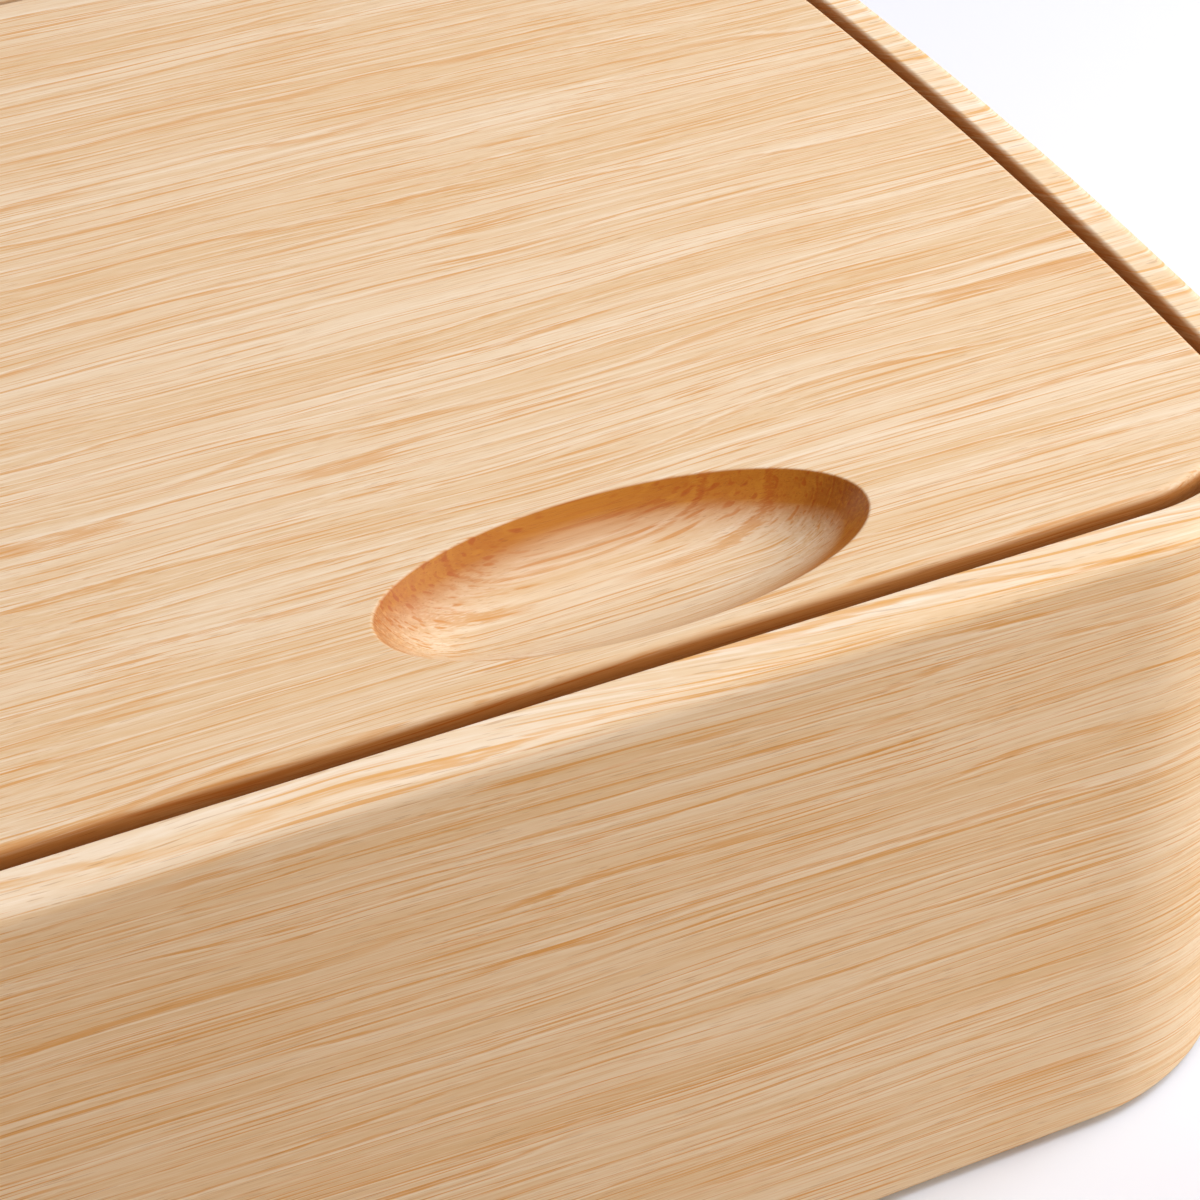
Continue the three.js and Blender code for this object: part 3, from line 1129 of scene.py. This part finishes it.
@dataclass(frozen=True)
class Grid:
    """Rows of evenly spaced copies of one piece."""

    start: Point
    step: Point
    count: int
    row_step: Point
    rows: int
    turn: Point = (0.0, 0.0, 0.0)
    spin: float = 0.0              # each copy is spun about its own axis by up to this angle
    seed: int = 3

    def tree(self) -> bpy.types.NodeTree:
        """Builds the node tree that copies a piece to the grid, once for all the grids.

        Returns:
            The tree.
        """
        found = bpy.data.node_groups.get("copies_in_rows")
        if found:
            return found
        tree = bpy.data.node_groups.new("copies_in_rows", "GeometryNodeTree")
        sockets = (
            ("Piece", "NodeSocketGeometry"),
            ("Start", "NodeSocketVector"),
            ("Step", "NodeSocketVector"),
            ("Count", "NodeSocketInt"),
            ("Row Step", "NodeSocketVector"),
            ("Rows", "NodeSocketInt"),
            ("Turn", "NodeSocketVector"),
            ("Spin", "NodeSocketFloat"),
            ("Seed", "NodeSocketInt"),
            ("Material", "NodeSocketMaterial"),
        )
        for name, kind in sockets:
            tree.interface.new_socket(name, in_out="INPUT", socket_type=kind)
        tree.interface.new_socket("Pieces", in_out="OUTPUT", socket_type="NodeSocketGeometry")
        given = add(tree, "NodeGroupInput").outputs
        row = add(tree, "GeometryNodeMeshLine", {
            "Count": given["Count"], "Start Location": given["Start"], "Offset": given["Step"],
        })
        firsts = add(tree, "GeometryNodeMeshLine", {"Count": given["Rows"], "Offset": given["Row Step"]})
        rows = add(tree, "GeometryNodeInstanceOnPoints", {"Points": firsts, "Instance": row})
        places = add(tree, "GeometryNodeRealizeInstances", {0: rows})
        turned = add(tree, "FunctionNodeEulerToRotation", {0: given["Turn"]})
        angle = add(tree, "FunctionNodeRandomValue", {"Max": given["Spin"], "Seed": given["Seed"]},
                    data_type="FLOAT")
        about = add(tree, "ShaderNodeCombineXYZ", {"Z": angle})
        spun = add(tree, "FunctionNodeEulerToRotation", {0: about})
        both = add(tree, "FunctionNodeRotateRotation", {0: turned, 1: spun}, rotation_space="LOCAL")
        copies = add(tree, "GeometryNodeInstanceOnPoints", {
            "Points": places, "Instance": given["Piece"], "Rotation": both,
        })
        real = add(tree, "GeometryNodeRealizeInstances", {0: copies})
        dressed = add(tree, "GeometryNodeSetMaterial", {"Geometry": real, "Material": given["Material"]})
        add(tree, "NodeGroupOutput", {0: dressed})
        return tree

    def places(self) -> list[Matrix]:
        """Gives the moves from the origin to the grid's places, not spun.

        Returns:
            The moves, one column after the other.
        """
        start, step, row_step = (Vector(v) for v in (self.start, self.step, self.row_step))
        turn = Euler(self.turn).to_matrix().to_4x4()
        return [
            Matrix.Translation(start + i * step + j * row_step) @ turn
            for i in range(self.count)
            for j in range(self.rows)
        ]

    def copy(self, thing: bpy.types.Object, material: bpy.types.Material) -> None:
        """Turns one piece at the origin into the grid's copies of it.

        Args:
            thing: The piece.
            material: Its material.
        """
        tree = self.tree()
        modifier = thing.modifiers.new("copies", "NODES")
        modifier.node_group = tree
        given = {
            "Start": [v * MM for v in self.start],
            "Step": [v * MM for v in self.step],
            "Count": self.count,
            "Row Step": [v * MM for v in self.row_step],
            "Rows": self.rows,
            "Turn": list(self.turn),
            "Spin": self.spin,
            "Seed": self.seed,
            "Material": material,
        }
        for item in tree.interface.items_tree:
            if item.in_out == "INPUT" and item.name in given:
                modifier[item.identifier] = given[item.name]
        apply_modifiers(thing)


@dataclass
class Walls:
    """Body walls: one milled ring of oak with a thin rim above a ledge."""

    sizes: Sizes
    bottom_ease: float = 0.8
    rim_round: float = 2.2         # outer edge of the rim's top
    rim_ease: float = 0.5          # inner edge of it
    ledge_ease: float = 0.4

    def build(self, cutters: Iterable[Shape], finish: bpy.types.Material) -> None:
        """Lofts the walls, cuts them for the hinges and screws and dresses them.

        Args:
            cutters: Shapes to cut away.
            finish: Material of the walls.
        """
        s = self.sizes
        outside = [
            *rounded(s.outer, s.wall_bottom, self.bottom_ease, steps=5, up=1),
            *reversed(rounded(s.outer, s.rim_top, self.rim_round, steps=14, up=-1)),
        ]
        inside = [
            *rounded(s.opening, s.rim_top, self.rim_ease, steps=5, up=-1, inward=-1),
            Level(s.opening, s.ledge_top),
            *rounded(s.cavity, s.ledge_top, self.ledge_ease, steps=5, up=-1, inward=-1),
            Level(s.cavity, s.panel_top + SEAT),
            Level(s.rebate, s.panel_top + SEAT),
            Level(s.rebate, s.wall_bottom),
        ]
        walls = loft("body_walls_milled", [*outside, *inside], closed=True)
        boolean(walls, cutters, "DIFFERENCE")
        smooth(walls)
        mark_end_grain(walls)
        finish_piece(walls, finish, Body.BOX, ["body_walls"])


@dataclass
class Scoop:
    """Oval finger scoop in the lid's top, with an evenly steep wall and a flatter middle."""

    lid: Plan
    top: float
    from_right: float = 75.0       # from the lid's right edge to the scoop's middle
    lip: float = 2.0               # wood left in front of it
    length: float = 54.5
    width: float = 24.0
    depth: float = 4.8
    steepness: float = 2.6         # 2 is a round wall, and more is steeper at the rim
    ease: float = 0.22             # how far its rounded rim reaches in and out
    sides: int = 144
    steps: int = 30
    ease_steps: int = 6
    floor_share: float = 0.97      # share of the half width where the last ring lies

    def point(self, inward: float, depth: float, angle: float) -> Vector:
        """Gives a point on an oval that lies inside the rim.

        Args:
            inward: Distance from the rim.
            depth: Depth below the lid's top.
            angle: Angle round the oval.

        Returns:
            The point.
        """
        return Vector((
            self.lid.side - self.from_right + (self.length / 2 - inward) * math.cos(angle),
            self.lip + self.width / 2 - self.lid.front + (self.width / 2 - inward) * math.sin(angle),
            self.top - depth,
        ))

    def fall(self, inward: float) -> float:
        """Gives the bowl's depth at a distance from its rim."""
        return self.depth * (1 - (1 - inward / (self.width / 2)) ** self.steepness)

    def rings(self) -> list[list[Vector]]:
        """Gives the bowl's rings from the flat outside its rim to its middle.

        Returns:
            The rings' points.
        """
        angles = [2 * math.pi * i / self.sides for i in range(self.sides)]
        rings = [[self.point(-2 * self.ease, 0.0, a) for a in angles]]
        for k in range(self.ease_steps + 1):
            t = k / self.ease_steps
            rings.append([
                self.point(-self.ease, 0.0, a) * (1 - t) ** 2
                + self.point(0.0, 0.0, a) * (2 * t * (1 - t))
                + self.point(self.ease, self.fall(self.ease), a) * t * t
                for a in angles
            ])
        reach = self.floor_share * self.width / 2
        for k in range(1, self.steps + 1):
            inward = self.ease + (reach - self.ease) * k / self.steps
            rings.append([self.point(inward, self.fall(inward), a) for a in angles])
        return rings


@dataclass
class Lid:
    """Lid panel: solid oak, eased all round, with one oval finger scoop."""

    sizes: Sizes
    ease: float = 0.9

    def build(self, cutters: Iterable[Shape], finish: bpy.types.Material) -> None:
        """Builds the lid's shell, fills its top round the scoop, cuts it for the hinges and dresses it.

        Args:
            cutters: Shapes to cut away.
            finish: Material of the lid.
        """
        s = self.sizes
        levels = [
            *rounded(s.lid, s.lid_bottom, self.ease, steps=6, up=1),
            *reversed(rounded(s.lid, s.lid_top, self.ease, steps=6, up=-1)),
        ]
        scoop = Scoop(s.lid, s.lid_top)
        work = bmesh.new()
        shell = [[work.verts.new(Vector(p) * MM) for p in level.ring()] for level in levels]
        bowl = [[work.verts.new(Vector(p) * MM) for p in ring] for ring in scoop.rings()]
        for rings in (shell, bowl):
            for low, high in zip(rings, rings[1:]):
                for i in range(len(low)):
                    j = (i + 1) % len(low)
                    work.faces.new((low[i], low[j], high[j], high[i]))
        work.faces.new(list(reversed(shell[0])))
        work.faces.new(bowl[-1])
        rim_edges = [
            work.edges.get((ring[i], ring[(i + 1) % len(ring)]))
            for ring in (shell[-1], bowl[0])
            for i in range(len(ring))
        ]
        bmesh.ops.triangle_fill(work, use_beauty=True, use_dissolve=False, edges=rim_edges)
        bmesh.ops.recalc_face_normals(work, faces=work.faces)
        mesh = bpy.data.meshes.new("lid_panel_scooped")
        work.to_mesh(mesh)
        work.free()
        lid = link("lid_panel_scooped", mesh)
        boolean(lid, cutters, "DIFFERENCE")
        smooth(lid)
        mark_end_grain(lid)
        # Paints shade into the scoop's walls and onto the lid's sides
        Oiling().mark(lid, scoop.point(scoop.width / 2, 0.0, 0.0))
        finish_piece(lid, finish, Body.LID, ["lid_panel"])


@dataclass
class Base:
    """Base panel in its rebate, with the screws that hold it, the felt liner and the feet."""

    sizes: Sizes
    panel_ease: float = 0.3
    screw: Screw = Screw(head=2.4, shank=1.2, length=12.0)
    screw_inset: float = 3.25      # from the panel's edge to a screw
    foot_fit: float = 0.25
    foot_sink: float = 1.0         # depth of a foot's pocket
    foot_ease: float = 0.35
    liner_ease: float = 0.2
    liner_round_share: float = 0.35    # radius of its top edge, as a share of its thickness
    over: float = 1.0              # how far a cutter runs out of the wood

    def grid(self) -> Grid:
        """Gives the base screws' places: three along the front and three along the back.

        Returns:
            Their grid.
        """
        panel = self.sizes.panel
        reach = panel.side - panel.corner
        front = self.screw_inset - panel.front
        back = panel.back - self.screw_inset
        return Grid(
            start=(-reach, front, self.sizes.panel_bottom),
            step=(reach, 0.0, 0.0),
            count=3,
            row_step=(0.0, back - front, 0.0),
            rows=2,
            turn=(math.pi, 0.0, 0.0),
            spin=math.pi,
        )

    def screw_holes(self) -> Shape:
        """Gives the holes for the base screws.

        Returns:
            Points and faces.
        """
        return merged(placed(self.screw.hole(), place) for place in self.grid().places())

    def build(self, oak: bpy.types.Material, steel: bpy.types.Material, felt: bpy.types.Material,
              rubber: bpy.types.Material) -> None:
        """Builds and dresses the base's pieces.

        Args:
            oak: Material of the panel.
            steel: Material of the screws.
            felt: Material of the liner.
            rubber: Material of the feet.
        """
        self.panel(oak)
        screws = self.screw.build("base_screws_slotted")
        self.grid().copy(screws, steel)
        smooth(screws)
        finish_piece(screws, steel, Body.BOX, [f"base_screw_{i}" for i in range(1, 7)])
        self.liner(felt)
        self.feet(rubber)

    def panel(self, oak: bpy.types.Material) -> None:
        """Builds the panel with its screw holes and the pockets for its feet.

        Args:
            oak: Its material.
        """
        s = self.sizes
        ease = self.panel_ease
        panel = slab("base_panel_oak", s.panel, s.panel_bottom, s.panel_top, ease, ease)
        low, high = node_box(f"foot_{FEET[0]}")
        pocket = lathe(cylinder((high.x - low.x) / 2 + self.foot_fit, -self.over, self.foot_sink))
        pockets = merged(
            placed(pocket, Matrix.Translation((x, y, s.panel_bottom))) for x, y in self.foot_places()
        )
        boolean(panel, [self.screw_holes(), pockets], "DIFFERENCE")
        smooth(panel)
        mark_end_grain(panel)
        finish_piece(panel, oak, Body.BOX, ["base_panel"])

    def foot_places(self) -> list[Spot]:
        """Gives the middles of the four feet.

        Returns:
            Points in the plane.
        """
        boxes = [node_box(f"foot_{name}") for name in FEET]
        return [((low.x + high.x) / 2, (low.y + high.y) / 2) for low, high in boxes]

    def liner(self, felt: bpy.types.Material) -> None:
        """Builds the felt liner, with a soft top edge.

        Args:
            felt: Its material.
        """
        low, high = node_box("base_liner")
        plan = self.sizes.liner
        top_ease = (high.z - low.z) * self.liner_round_share
        liner = slab("base_liner_felt", plan, low.z, high.z, self.liner_ease, top_ease)
        smooth(liner)
        finish_piece(liner, felt, Body.BOX, ["base_liner"])
        outline = plan.outline()

    def feet(self, rubber: bpy.types.Material) -> None:
        """Builds the four feet from one turned disc.

        Args:
            rubber: Their material.
        """
        nodes = [f"foot_{name}" for name in FEET]
        low, high = node_box(nodes[0])
        foot = make_object("feet_moulded", *lathe(
            eased_disc((high.x - low.x) / 2, low.z, high.z, self.foot_ease)
        ))
        (left, front), (right, _), (_, back), _ = self.foot_places()
        Grid(
            start=(left, front, 0.0),
            step=(right - left, 0.0, 0.0),
            count=2,
            row_step=(0.0, back - front, 0.0),
            rows=2,
        ).copy(foot, rubber)
        smooth(foot)
        finish_piece(foot, rubber, Body.BOX, nodes)


@dataclass
class LidPads:
    """Two felt dots on the front ledge that the lid comes down on."""

    ease: float = 0.2
    sides: int = 40

    def build(self, felt: bpy.types.Material) -> None:
        """Builds the pair from one dot.

        Args:
            felt: Its material.
        """
        low, high = node_box("lid_pad_left")
        right_low, _ = node_box("lid_pad_right")
        middle = (low + high) / 2
        dot = eased_disc((high.x - low.x) / 2, low.z, high.z, self.ease)
        pads = make_object("lid_pads_felt", *lathe(dot, self.sides))
        Grid(
            start=(middle.x, middle.y, 0.0),
            step=(right_low.x - low.x, 0.0, 0.0),
            count=2,
            row_step=(0.0, 0.0, 0.0),
            rows=1,
        ).copy(pads, felt)
        smooth(pads)
        finish_piece(pads, felt, Body.BOX, ["lid_pad_left", "lid_pad_right"])


@dataclass
class Hinges:
    """Two butt hinges: stamped leaves with three knuckles, a pin, and three screws in each leaf.

    A hinge is worked out about its own axis, which runs along X.
    """

    sizes: Sizes
    length: float = 30.0
    thickness: float = 1.1
    height: float = 9.0            # of a leaf below the axis
    barrel: float = 2.2            # radius of the knuckles
    pin_fit: float = 0.15
    pin_ease: float = 0.2
    pin_sides: int = 40
    knuckle_gap: float = 0.25
    leaf_fit: float = 0.2          # between a leaf and its mortise
    swing: float = 0.3             # between a knuckle and the wood
    screw_spacing: float = 10.0
    screw: Screw = Screw(head=1.9, shank=0.9, length=6.0)
    seed: int = 7
    edge: float = 0.1              # bevel of the stamped edges
    edge_limit: float = math.radians(50)
    over: float = 2.0              # how far a cutter runs out of what it cuts

    def __post_init__(self) -> None:
        """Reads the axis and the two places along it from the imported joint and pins."""
        pins = [node_box(f"{side}_hinge_pin") for side in SIDES]
        self.axis = Vector(frame["joints"][0]["pos_m"]) / MM
        self.face = (self.sizes.opening.back - self.sizes.lid.back) / 2
        self.drop = (self.barrel + self.swing + self.height) / 2
        self.places = [(low.x + high.x) / 2 for low, high in pins]
        self.pin_radius = (pins[0][1].z - pins[0][0].z) / 2

    def at(self, x: float) -> Matrix:
        """Gives the move from a hinge's own axis to its place."""
        return Matrix.Translation((x, self.axis.y, self.axis.z))

    def plate(self, leaf: Leaf, margin: float, top: float) -> Shape:
        """Gives the plate of a leaf, or with a margin its mortise.

        Args:
            leaf: The leaf.
            margin: Room round the plate.
            top: Height of its top above the axis.

        Returns:
            Points and faces.
        """
        faces = (self.face - margin, self.face + self.thickness + margin)
        near, far = sorted(leaf.value * y for y in faces)
        half = self.length / 2 + margin
        return block((-half, near, -self.height - margin), (half, far, top))

    def holes(self, leaf: Leaf) -> Shape:
        """Gives the holes for a leaf's screws.

        Args:
            leaf: The leaf.

        Returns:
            Points and faces.
        """
        turn = Matrix.Rotation(leaf.value * math.pi / 2, 4, "X")
        return merged(
            placed(self.screw.hole(), Matrix.Translation((x, leaf.value * self.face, -self.drop)) @ turn)
            for x in (-self.screw_spacing, 0.0, self.screw_spacing)
        )

    def cutters(self, leaf: Leaf) -> list[Shape]:
        """Gives what both hinges take out of the wall or the lid.

        Args:
            leaf: The leaf on that side.

        Returns:
            Points and faces of the barrels' beds, the mortises and the screw holes.
        """
        half = self.length / 2 + self.leaf_fit
        bed = rod(cylinder(self.barrel + self.swing, -half, half))
        mortise = self.plate(leaf, self.leaf_fit, self.barrel + self.over)
        return [
            merged(placed(shape, self.at(x)) for x in self.places)
            for shape in (bed, mortise, self.holes(leaf))
        ]

    def knuckles(self, leaf: Leaf, radius: float, margin: float, end_margin: float) -> Shape:
        """Gives the knuckles of one leaf: the outer two for the wall's, the middle one for the lid's.

        Args:
            leaf: The leaf.
            radius: Their radius.
            margin: Added at ends that meet another knuckle.
            end_margin: Added at the hinge's own ends.

        Returns:
            Points and faces.
        """
        third = self.length / 3
        half = self.length / 2
        if leaf is Leaf.LID:
            return rod(cylinder(radius, -third / 2 - margin, third / 2 + margin))
        return merged([
            rod(cylinder(radius, -half - end_margin, third - half + margin)),
            rod(cylinder(radius, half - third - margin, half + end_margin)),
        ])

    def build(self, brass: bpy.types.Material, steel: bpy.types.Material) -> None:
        """Builds and dresses both hinges.

        Args:
            brass: Material of the leaves and their screws.
            steel: Material of the pins.
        """
        for side, x in zip(SIDES, self.places):
            for leaf in Leaf:
                self.build_leaf(f"{side}_hinge_{leaf.label}_leaf", leaf, x, brass)
            self.build_pin(f"{side}_hinge_pin", x, steel)
        for leaf in Leaf:
            self.build_screws(leaf, brass)

    def build_leaf(self, node: str, leaf: Leaf, x: float, brass: bpy.types.Material) -> None:
        """Builds one leaf with its knuckles, pin bore and screw holes.

        Args:
            node: Node that it stands for.
            leaf: Which leaf it is.
            x: The hinge's place.
            brass: Its material.
        """
        place = self.at(x)
        thing = make_object(f"{node}_stamped", *placed(self.plate(leaf, 0.0, 0.0), place))
        room = self.knuckles(leaf.other, self.barrel + self.swing, self.knuckle_gap / 2, self.over)
        own = self.knuckles(leaf, self.barrel, -self.knuckle_gap / 2, 0.0)
        half = self.length / 2 + self.over
        bore = rod(cylinder(self.pin_radius + self.pin_fit, -half, half))
        boolean(thing, [placed(room, place)], "DIFFERENCE")
        boolean(thing, [placed(own, place)], "UNION")
        boolean(thing, [placed(bore, place), placed(self.holes(leaf), place)], "DIFFERENCE")
        bevel = thing.modifiers.new("edge", "BEVEL")
        bevel.width = self.edge * MM
        bevel.segments = 2
        bevel.limit_method = "ANGLE"
        bevel.angle_limit = self.edge_limit
        apply_modifiers(thing)
        smooth(thing)
        finish_piece(thing, brass, leaf.body, [node])

    def build_pin(self, node: str, x: float, steel: bpy.types.Material) -> None:
        """Builds a pin with eased ends.

        Args:
            node: Node that it stands for.
            x: The hinge's place.
            steel: Its material.
        """
        half = self.length / 2
        turned = rod(eased_disc(self.pin_radius, -half, half, self.pin_ease), self.pin_sides)
        pin = make_object(f"{node}_turned", *placed(turned, self.at(x)))
        smooth(pin)
        finish_piece(pin, steel, Body.BOX, [node])

    def build_screws(self, leaf: Leaf, brass: bpy.types.Material) -> None:
        """Builds the screws that hold both hinges' leaves to the wall or to the lid.

        Args:
            leaf: The leaf that they hold.
            brass: Their material.
        """
        screws = self.screw.build(f"hinge_{leaf.label}_screws_slotted")
        first, second = self.places
        face = self.axis.y + leaf.value * self.face
        Grid(
            start=(first - self.screw_spacing, face, self.axis.z - self.drop),
            step=(self.screw_spacing, 0.0, 0.0),
            count=3,
            row_step=(second - first, 0.0, 0.0),
            rows=2,
            turn=(leaf.value * math.pi / 2, 0.0, 0.0),
            spin=math.pi,
            seed=self.seed + leaf.value,
        ).copy(screws, brass)
        smooth(screws)
        nodes = [f"{side}_hinge_{leaf.label}_screw_{i}" for side in SIDES for i in (1, 2, 3)]
        finish_piece(screws, brass, leaf.body, nodes)


@dataclass(frozen=True)
class Lamp:
    """Soft rectangular lamp that the camera doesn't see."""

    name: str
    place: Point
    width: float
    height: float
    power: float                   # watts
    tint: str = "#edf6ff"
    aim: Point = (0.0, 0.0, 60.0)

    def build(self) -> None:
        """Makes the lamp and turns it to its aim."""
        data = bpy.data.lights.new(self.name, "AREA")
        data.shape = "RECTANGLE"
        data.size = self.width * MM
        data.size_y = self.height * MM
        data.energy = self.power
        data.color = srgb(self.tint)[:3]
        lamp = link(self.name, data)
        lamp.location = Vector(self.place) * MM
        lamp.rotation_euler = (Vector(self.aim) - Vector(self.place)).to_track_quat("-Z", "Y").to_euler()
        lamp.visible_camera = False


@dataclass
class Studio:
    """Pale floor, white surroundings, soft lamps and the camera."""

    place: Point = (-82.295, -314.693, 288.594)    # of the camera
    heading: float = 25.25         # degrees from +Y towards +X
    pitch: float = 37.28           # degrees down
    roll: float = 0.843
    lens: float = 102.49           # millimetres, for a square film of 36 mm
    film: float = 36.0
    clip_start: float = 10.0
    floor_reach: float = 3000.0
    floor_seen: str = "#ebf3ff"    # what the camera sees of the paper
    floor_lit: str = "#bfb6aa"     # what it throws back at the box
    fill: str = "#ffbf8c"          # warm light from the room
    fill_strength: float = 0.26
    lamps: tuple[Lamp, ...] = (
        Lamp("side_window", (1061.0, 0.0, 1121.0), 700.0, 700.0, 4.4),
        Lamp("low_window", (1410.0, 0.0, 573.0), 700.0, 700.0, 2.4),
        Lamp("near_card", (520.0, -150.0, 420.0), 350.0, 350.0, 1.3),
        Lamp("high_panel", (400.0, -250.0, 1380.0), 600.0, 600.0, 5.5),
        Lamp("back_panel", (450.0, 890.0, 1170.0), 700.0, 700.0, 3.6),
        Lamp("back_left_panel", (-800.0, 900.0, 480.0), 700.0, 500.0, 2.0),
        Lamp("front_card", (760.0, -580.0, 400.0), 500.0, 300.0, 4.7, "#fff0dc", (80.0, -40.0, 50.0)),
    )

    def build(self) -> None:
        """Makes the floor, the world, the lamps and the camera."""
        self.floor()
        self.world()
        for lamp in self.lamps:
            lamp.build()
        self.camera()
        bpy.context.scene.view_settings.view_transform = "Standard"

    def floor(self) -> None:
        """Makes a wide pale floor that can be seen through from below."""
        reach = self.floor_reach
        floor = make_object("floor", [
            (-reach, -reach, 0.0), (reach, -reach, 0.0), (reach, reach, 0.0), (-reach, reach, 0.0),
        ], [(0, 1, 2, 3)])
        material, tree = blank_material("white_paper")
        path = add(tree, "ShaderNodeLightPath")
        shade = blend(tree, path.outputs["Is Camera Ray"], srgb(self.floor_lit), srgb(self.floor_seen))
        paper = add(tree, "ShaderNodeBsdfDiffuse", {"Color": shade})
        clear = add(tree, "ShaderNodeBsdfTransparent")
        geometry = add(tree, "ShaderNodeNewGeometry")
        mixed = add(tree, "ShaderNodeMixShader", {
            0: geometry.outputs["Backfacing"], 1: paper, 2: clear,
        })
        add(tree, "ShaderNodeOutputMaterial", {"Surface": mixed})
        floor.data.materials.append(material)

    def world(self) -> None:
        """Lights the scene evenly, and shows white to the camera and in reflections."""
        world = bpy.data.worlds.new("studio")
        bpy.context.scene.world = world
        world.use_nodes = True
        tree = world.node_tree
        tree.nodes.clear()
        path = add(tree, "ShaderNodeLightPath")
        seen = add(tree, "ShaderNodeMath", {
            0: path.outputs["Is Camera Ray"], 1: path.outputs["Is Glossy Ray"],
        }, operation="MAXIMUM")
        shown = add(tree, "ShaderNodeMath", {0: seen, 1: path.outputs["Is Transmission Ray"]},
                    operation="MAXIMUM")
        fill = add(tree, "ShaderNodeBackground", {
            "Color": srgb(self.fill), "Strength": self.fill_strength,
        })
        white = add(tree, "ShaderNodeBackground", {"Color": (1.0, 1.0, 1.0, 1.0), "Strength": 1.0})
        mixed = add(tree, "ShaderNodeMixShader", {0: shown, 1: fill, 2: white})
        add(tree, "ShaderNodeOutputWorld", {"Surface": mixed})

    def camera(self) -> None:
        """Puts the camera at the photograph's place and angle."""
        heading = math.radians(self.heading)
        pitch = math.radians(self.pitch)
        roll = math.radians(self.roll)
        ahead = Vector((
            math.sin(heading) * math.cos(pitch), math.cos(heading) * math.cos(pitch), -math.sin(pitch),
        ))
        level = Vector((math.cos(heading), -math.sin(heading), 0.0))
        down = ahead.cross(level)
        right = level * math.cos(roll) + down * math.sin(roll)
        up = level * math.sin(roll) - down * math.cos(roll)
        data = bpy.data.cameras.new("camera")
        data.sensor_width = self.film
        data.lens = self.lens
        data.clip_start = self.clip_start * MM
        camera = link("camera", data)
        turn = Matrix((right, up, -ahead)).transposed().to_4x4()
        camera.matrix_world = Matrix.Translation(Vector(self.place) * MM) @ turn
        bpy.context.scene.camera = camera


def main() -> None:
    """Builds every piece in order."""
    logging.basicConfig(level=logging.INFO, format="%(name)s: %(message)s")
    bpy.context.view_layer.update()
    sizes = Sizes.from_frame()
    brass = Metal("satin_brass", "#c9a35e", 0.34).material()
    steel = Metal("bright_zinc_steel", "#c3c4c6", 0.32).material()
    felt = WoolFelt().material()
    base = Base(sizes)
    hinges = Hinges(sizes)
    walls_oak = Oak(
        "oiled_oak_body", pale="#f3e5cd", tan="#e6ca9f", vessel="#dfa34a", fleck="#fcf5e6", end="#dfb47c",
        ring_tilt=112.0, grain_turn=-2.1, breadth=18.0,
    )
    lid_oak = Oak("oiled_oak_lid", grain_turn=0.6, origin=(31.0, 12.0, 7.0))
    base_oak = Oak("sanded_oak_base", origin=(77.0, -40.0, 21.0))
    Walls(sizes).build([*hinges.cutters(Leaf.WALL), base.screw_holes()], walls_oak.material())
    Lid(sizes).build(hinges.cutters(Leaf.LID), lid_oak.material())
    base.build(base_oak.material(), steel, felt, Rubber().material())
    LidPads().build(felt)
    hinges.build(brass, steel)
    Studio().build()


if __name__ == "__main__":
    main()
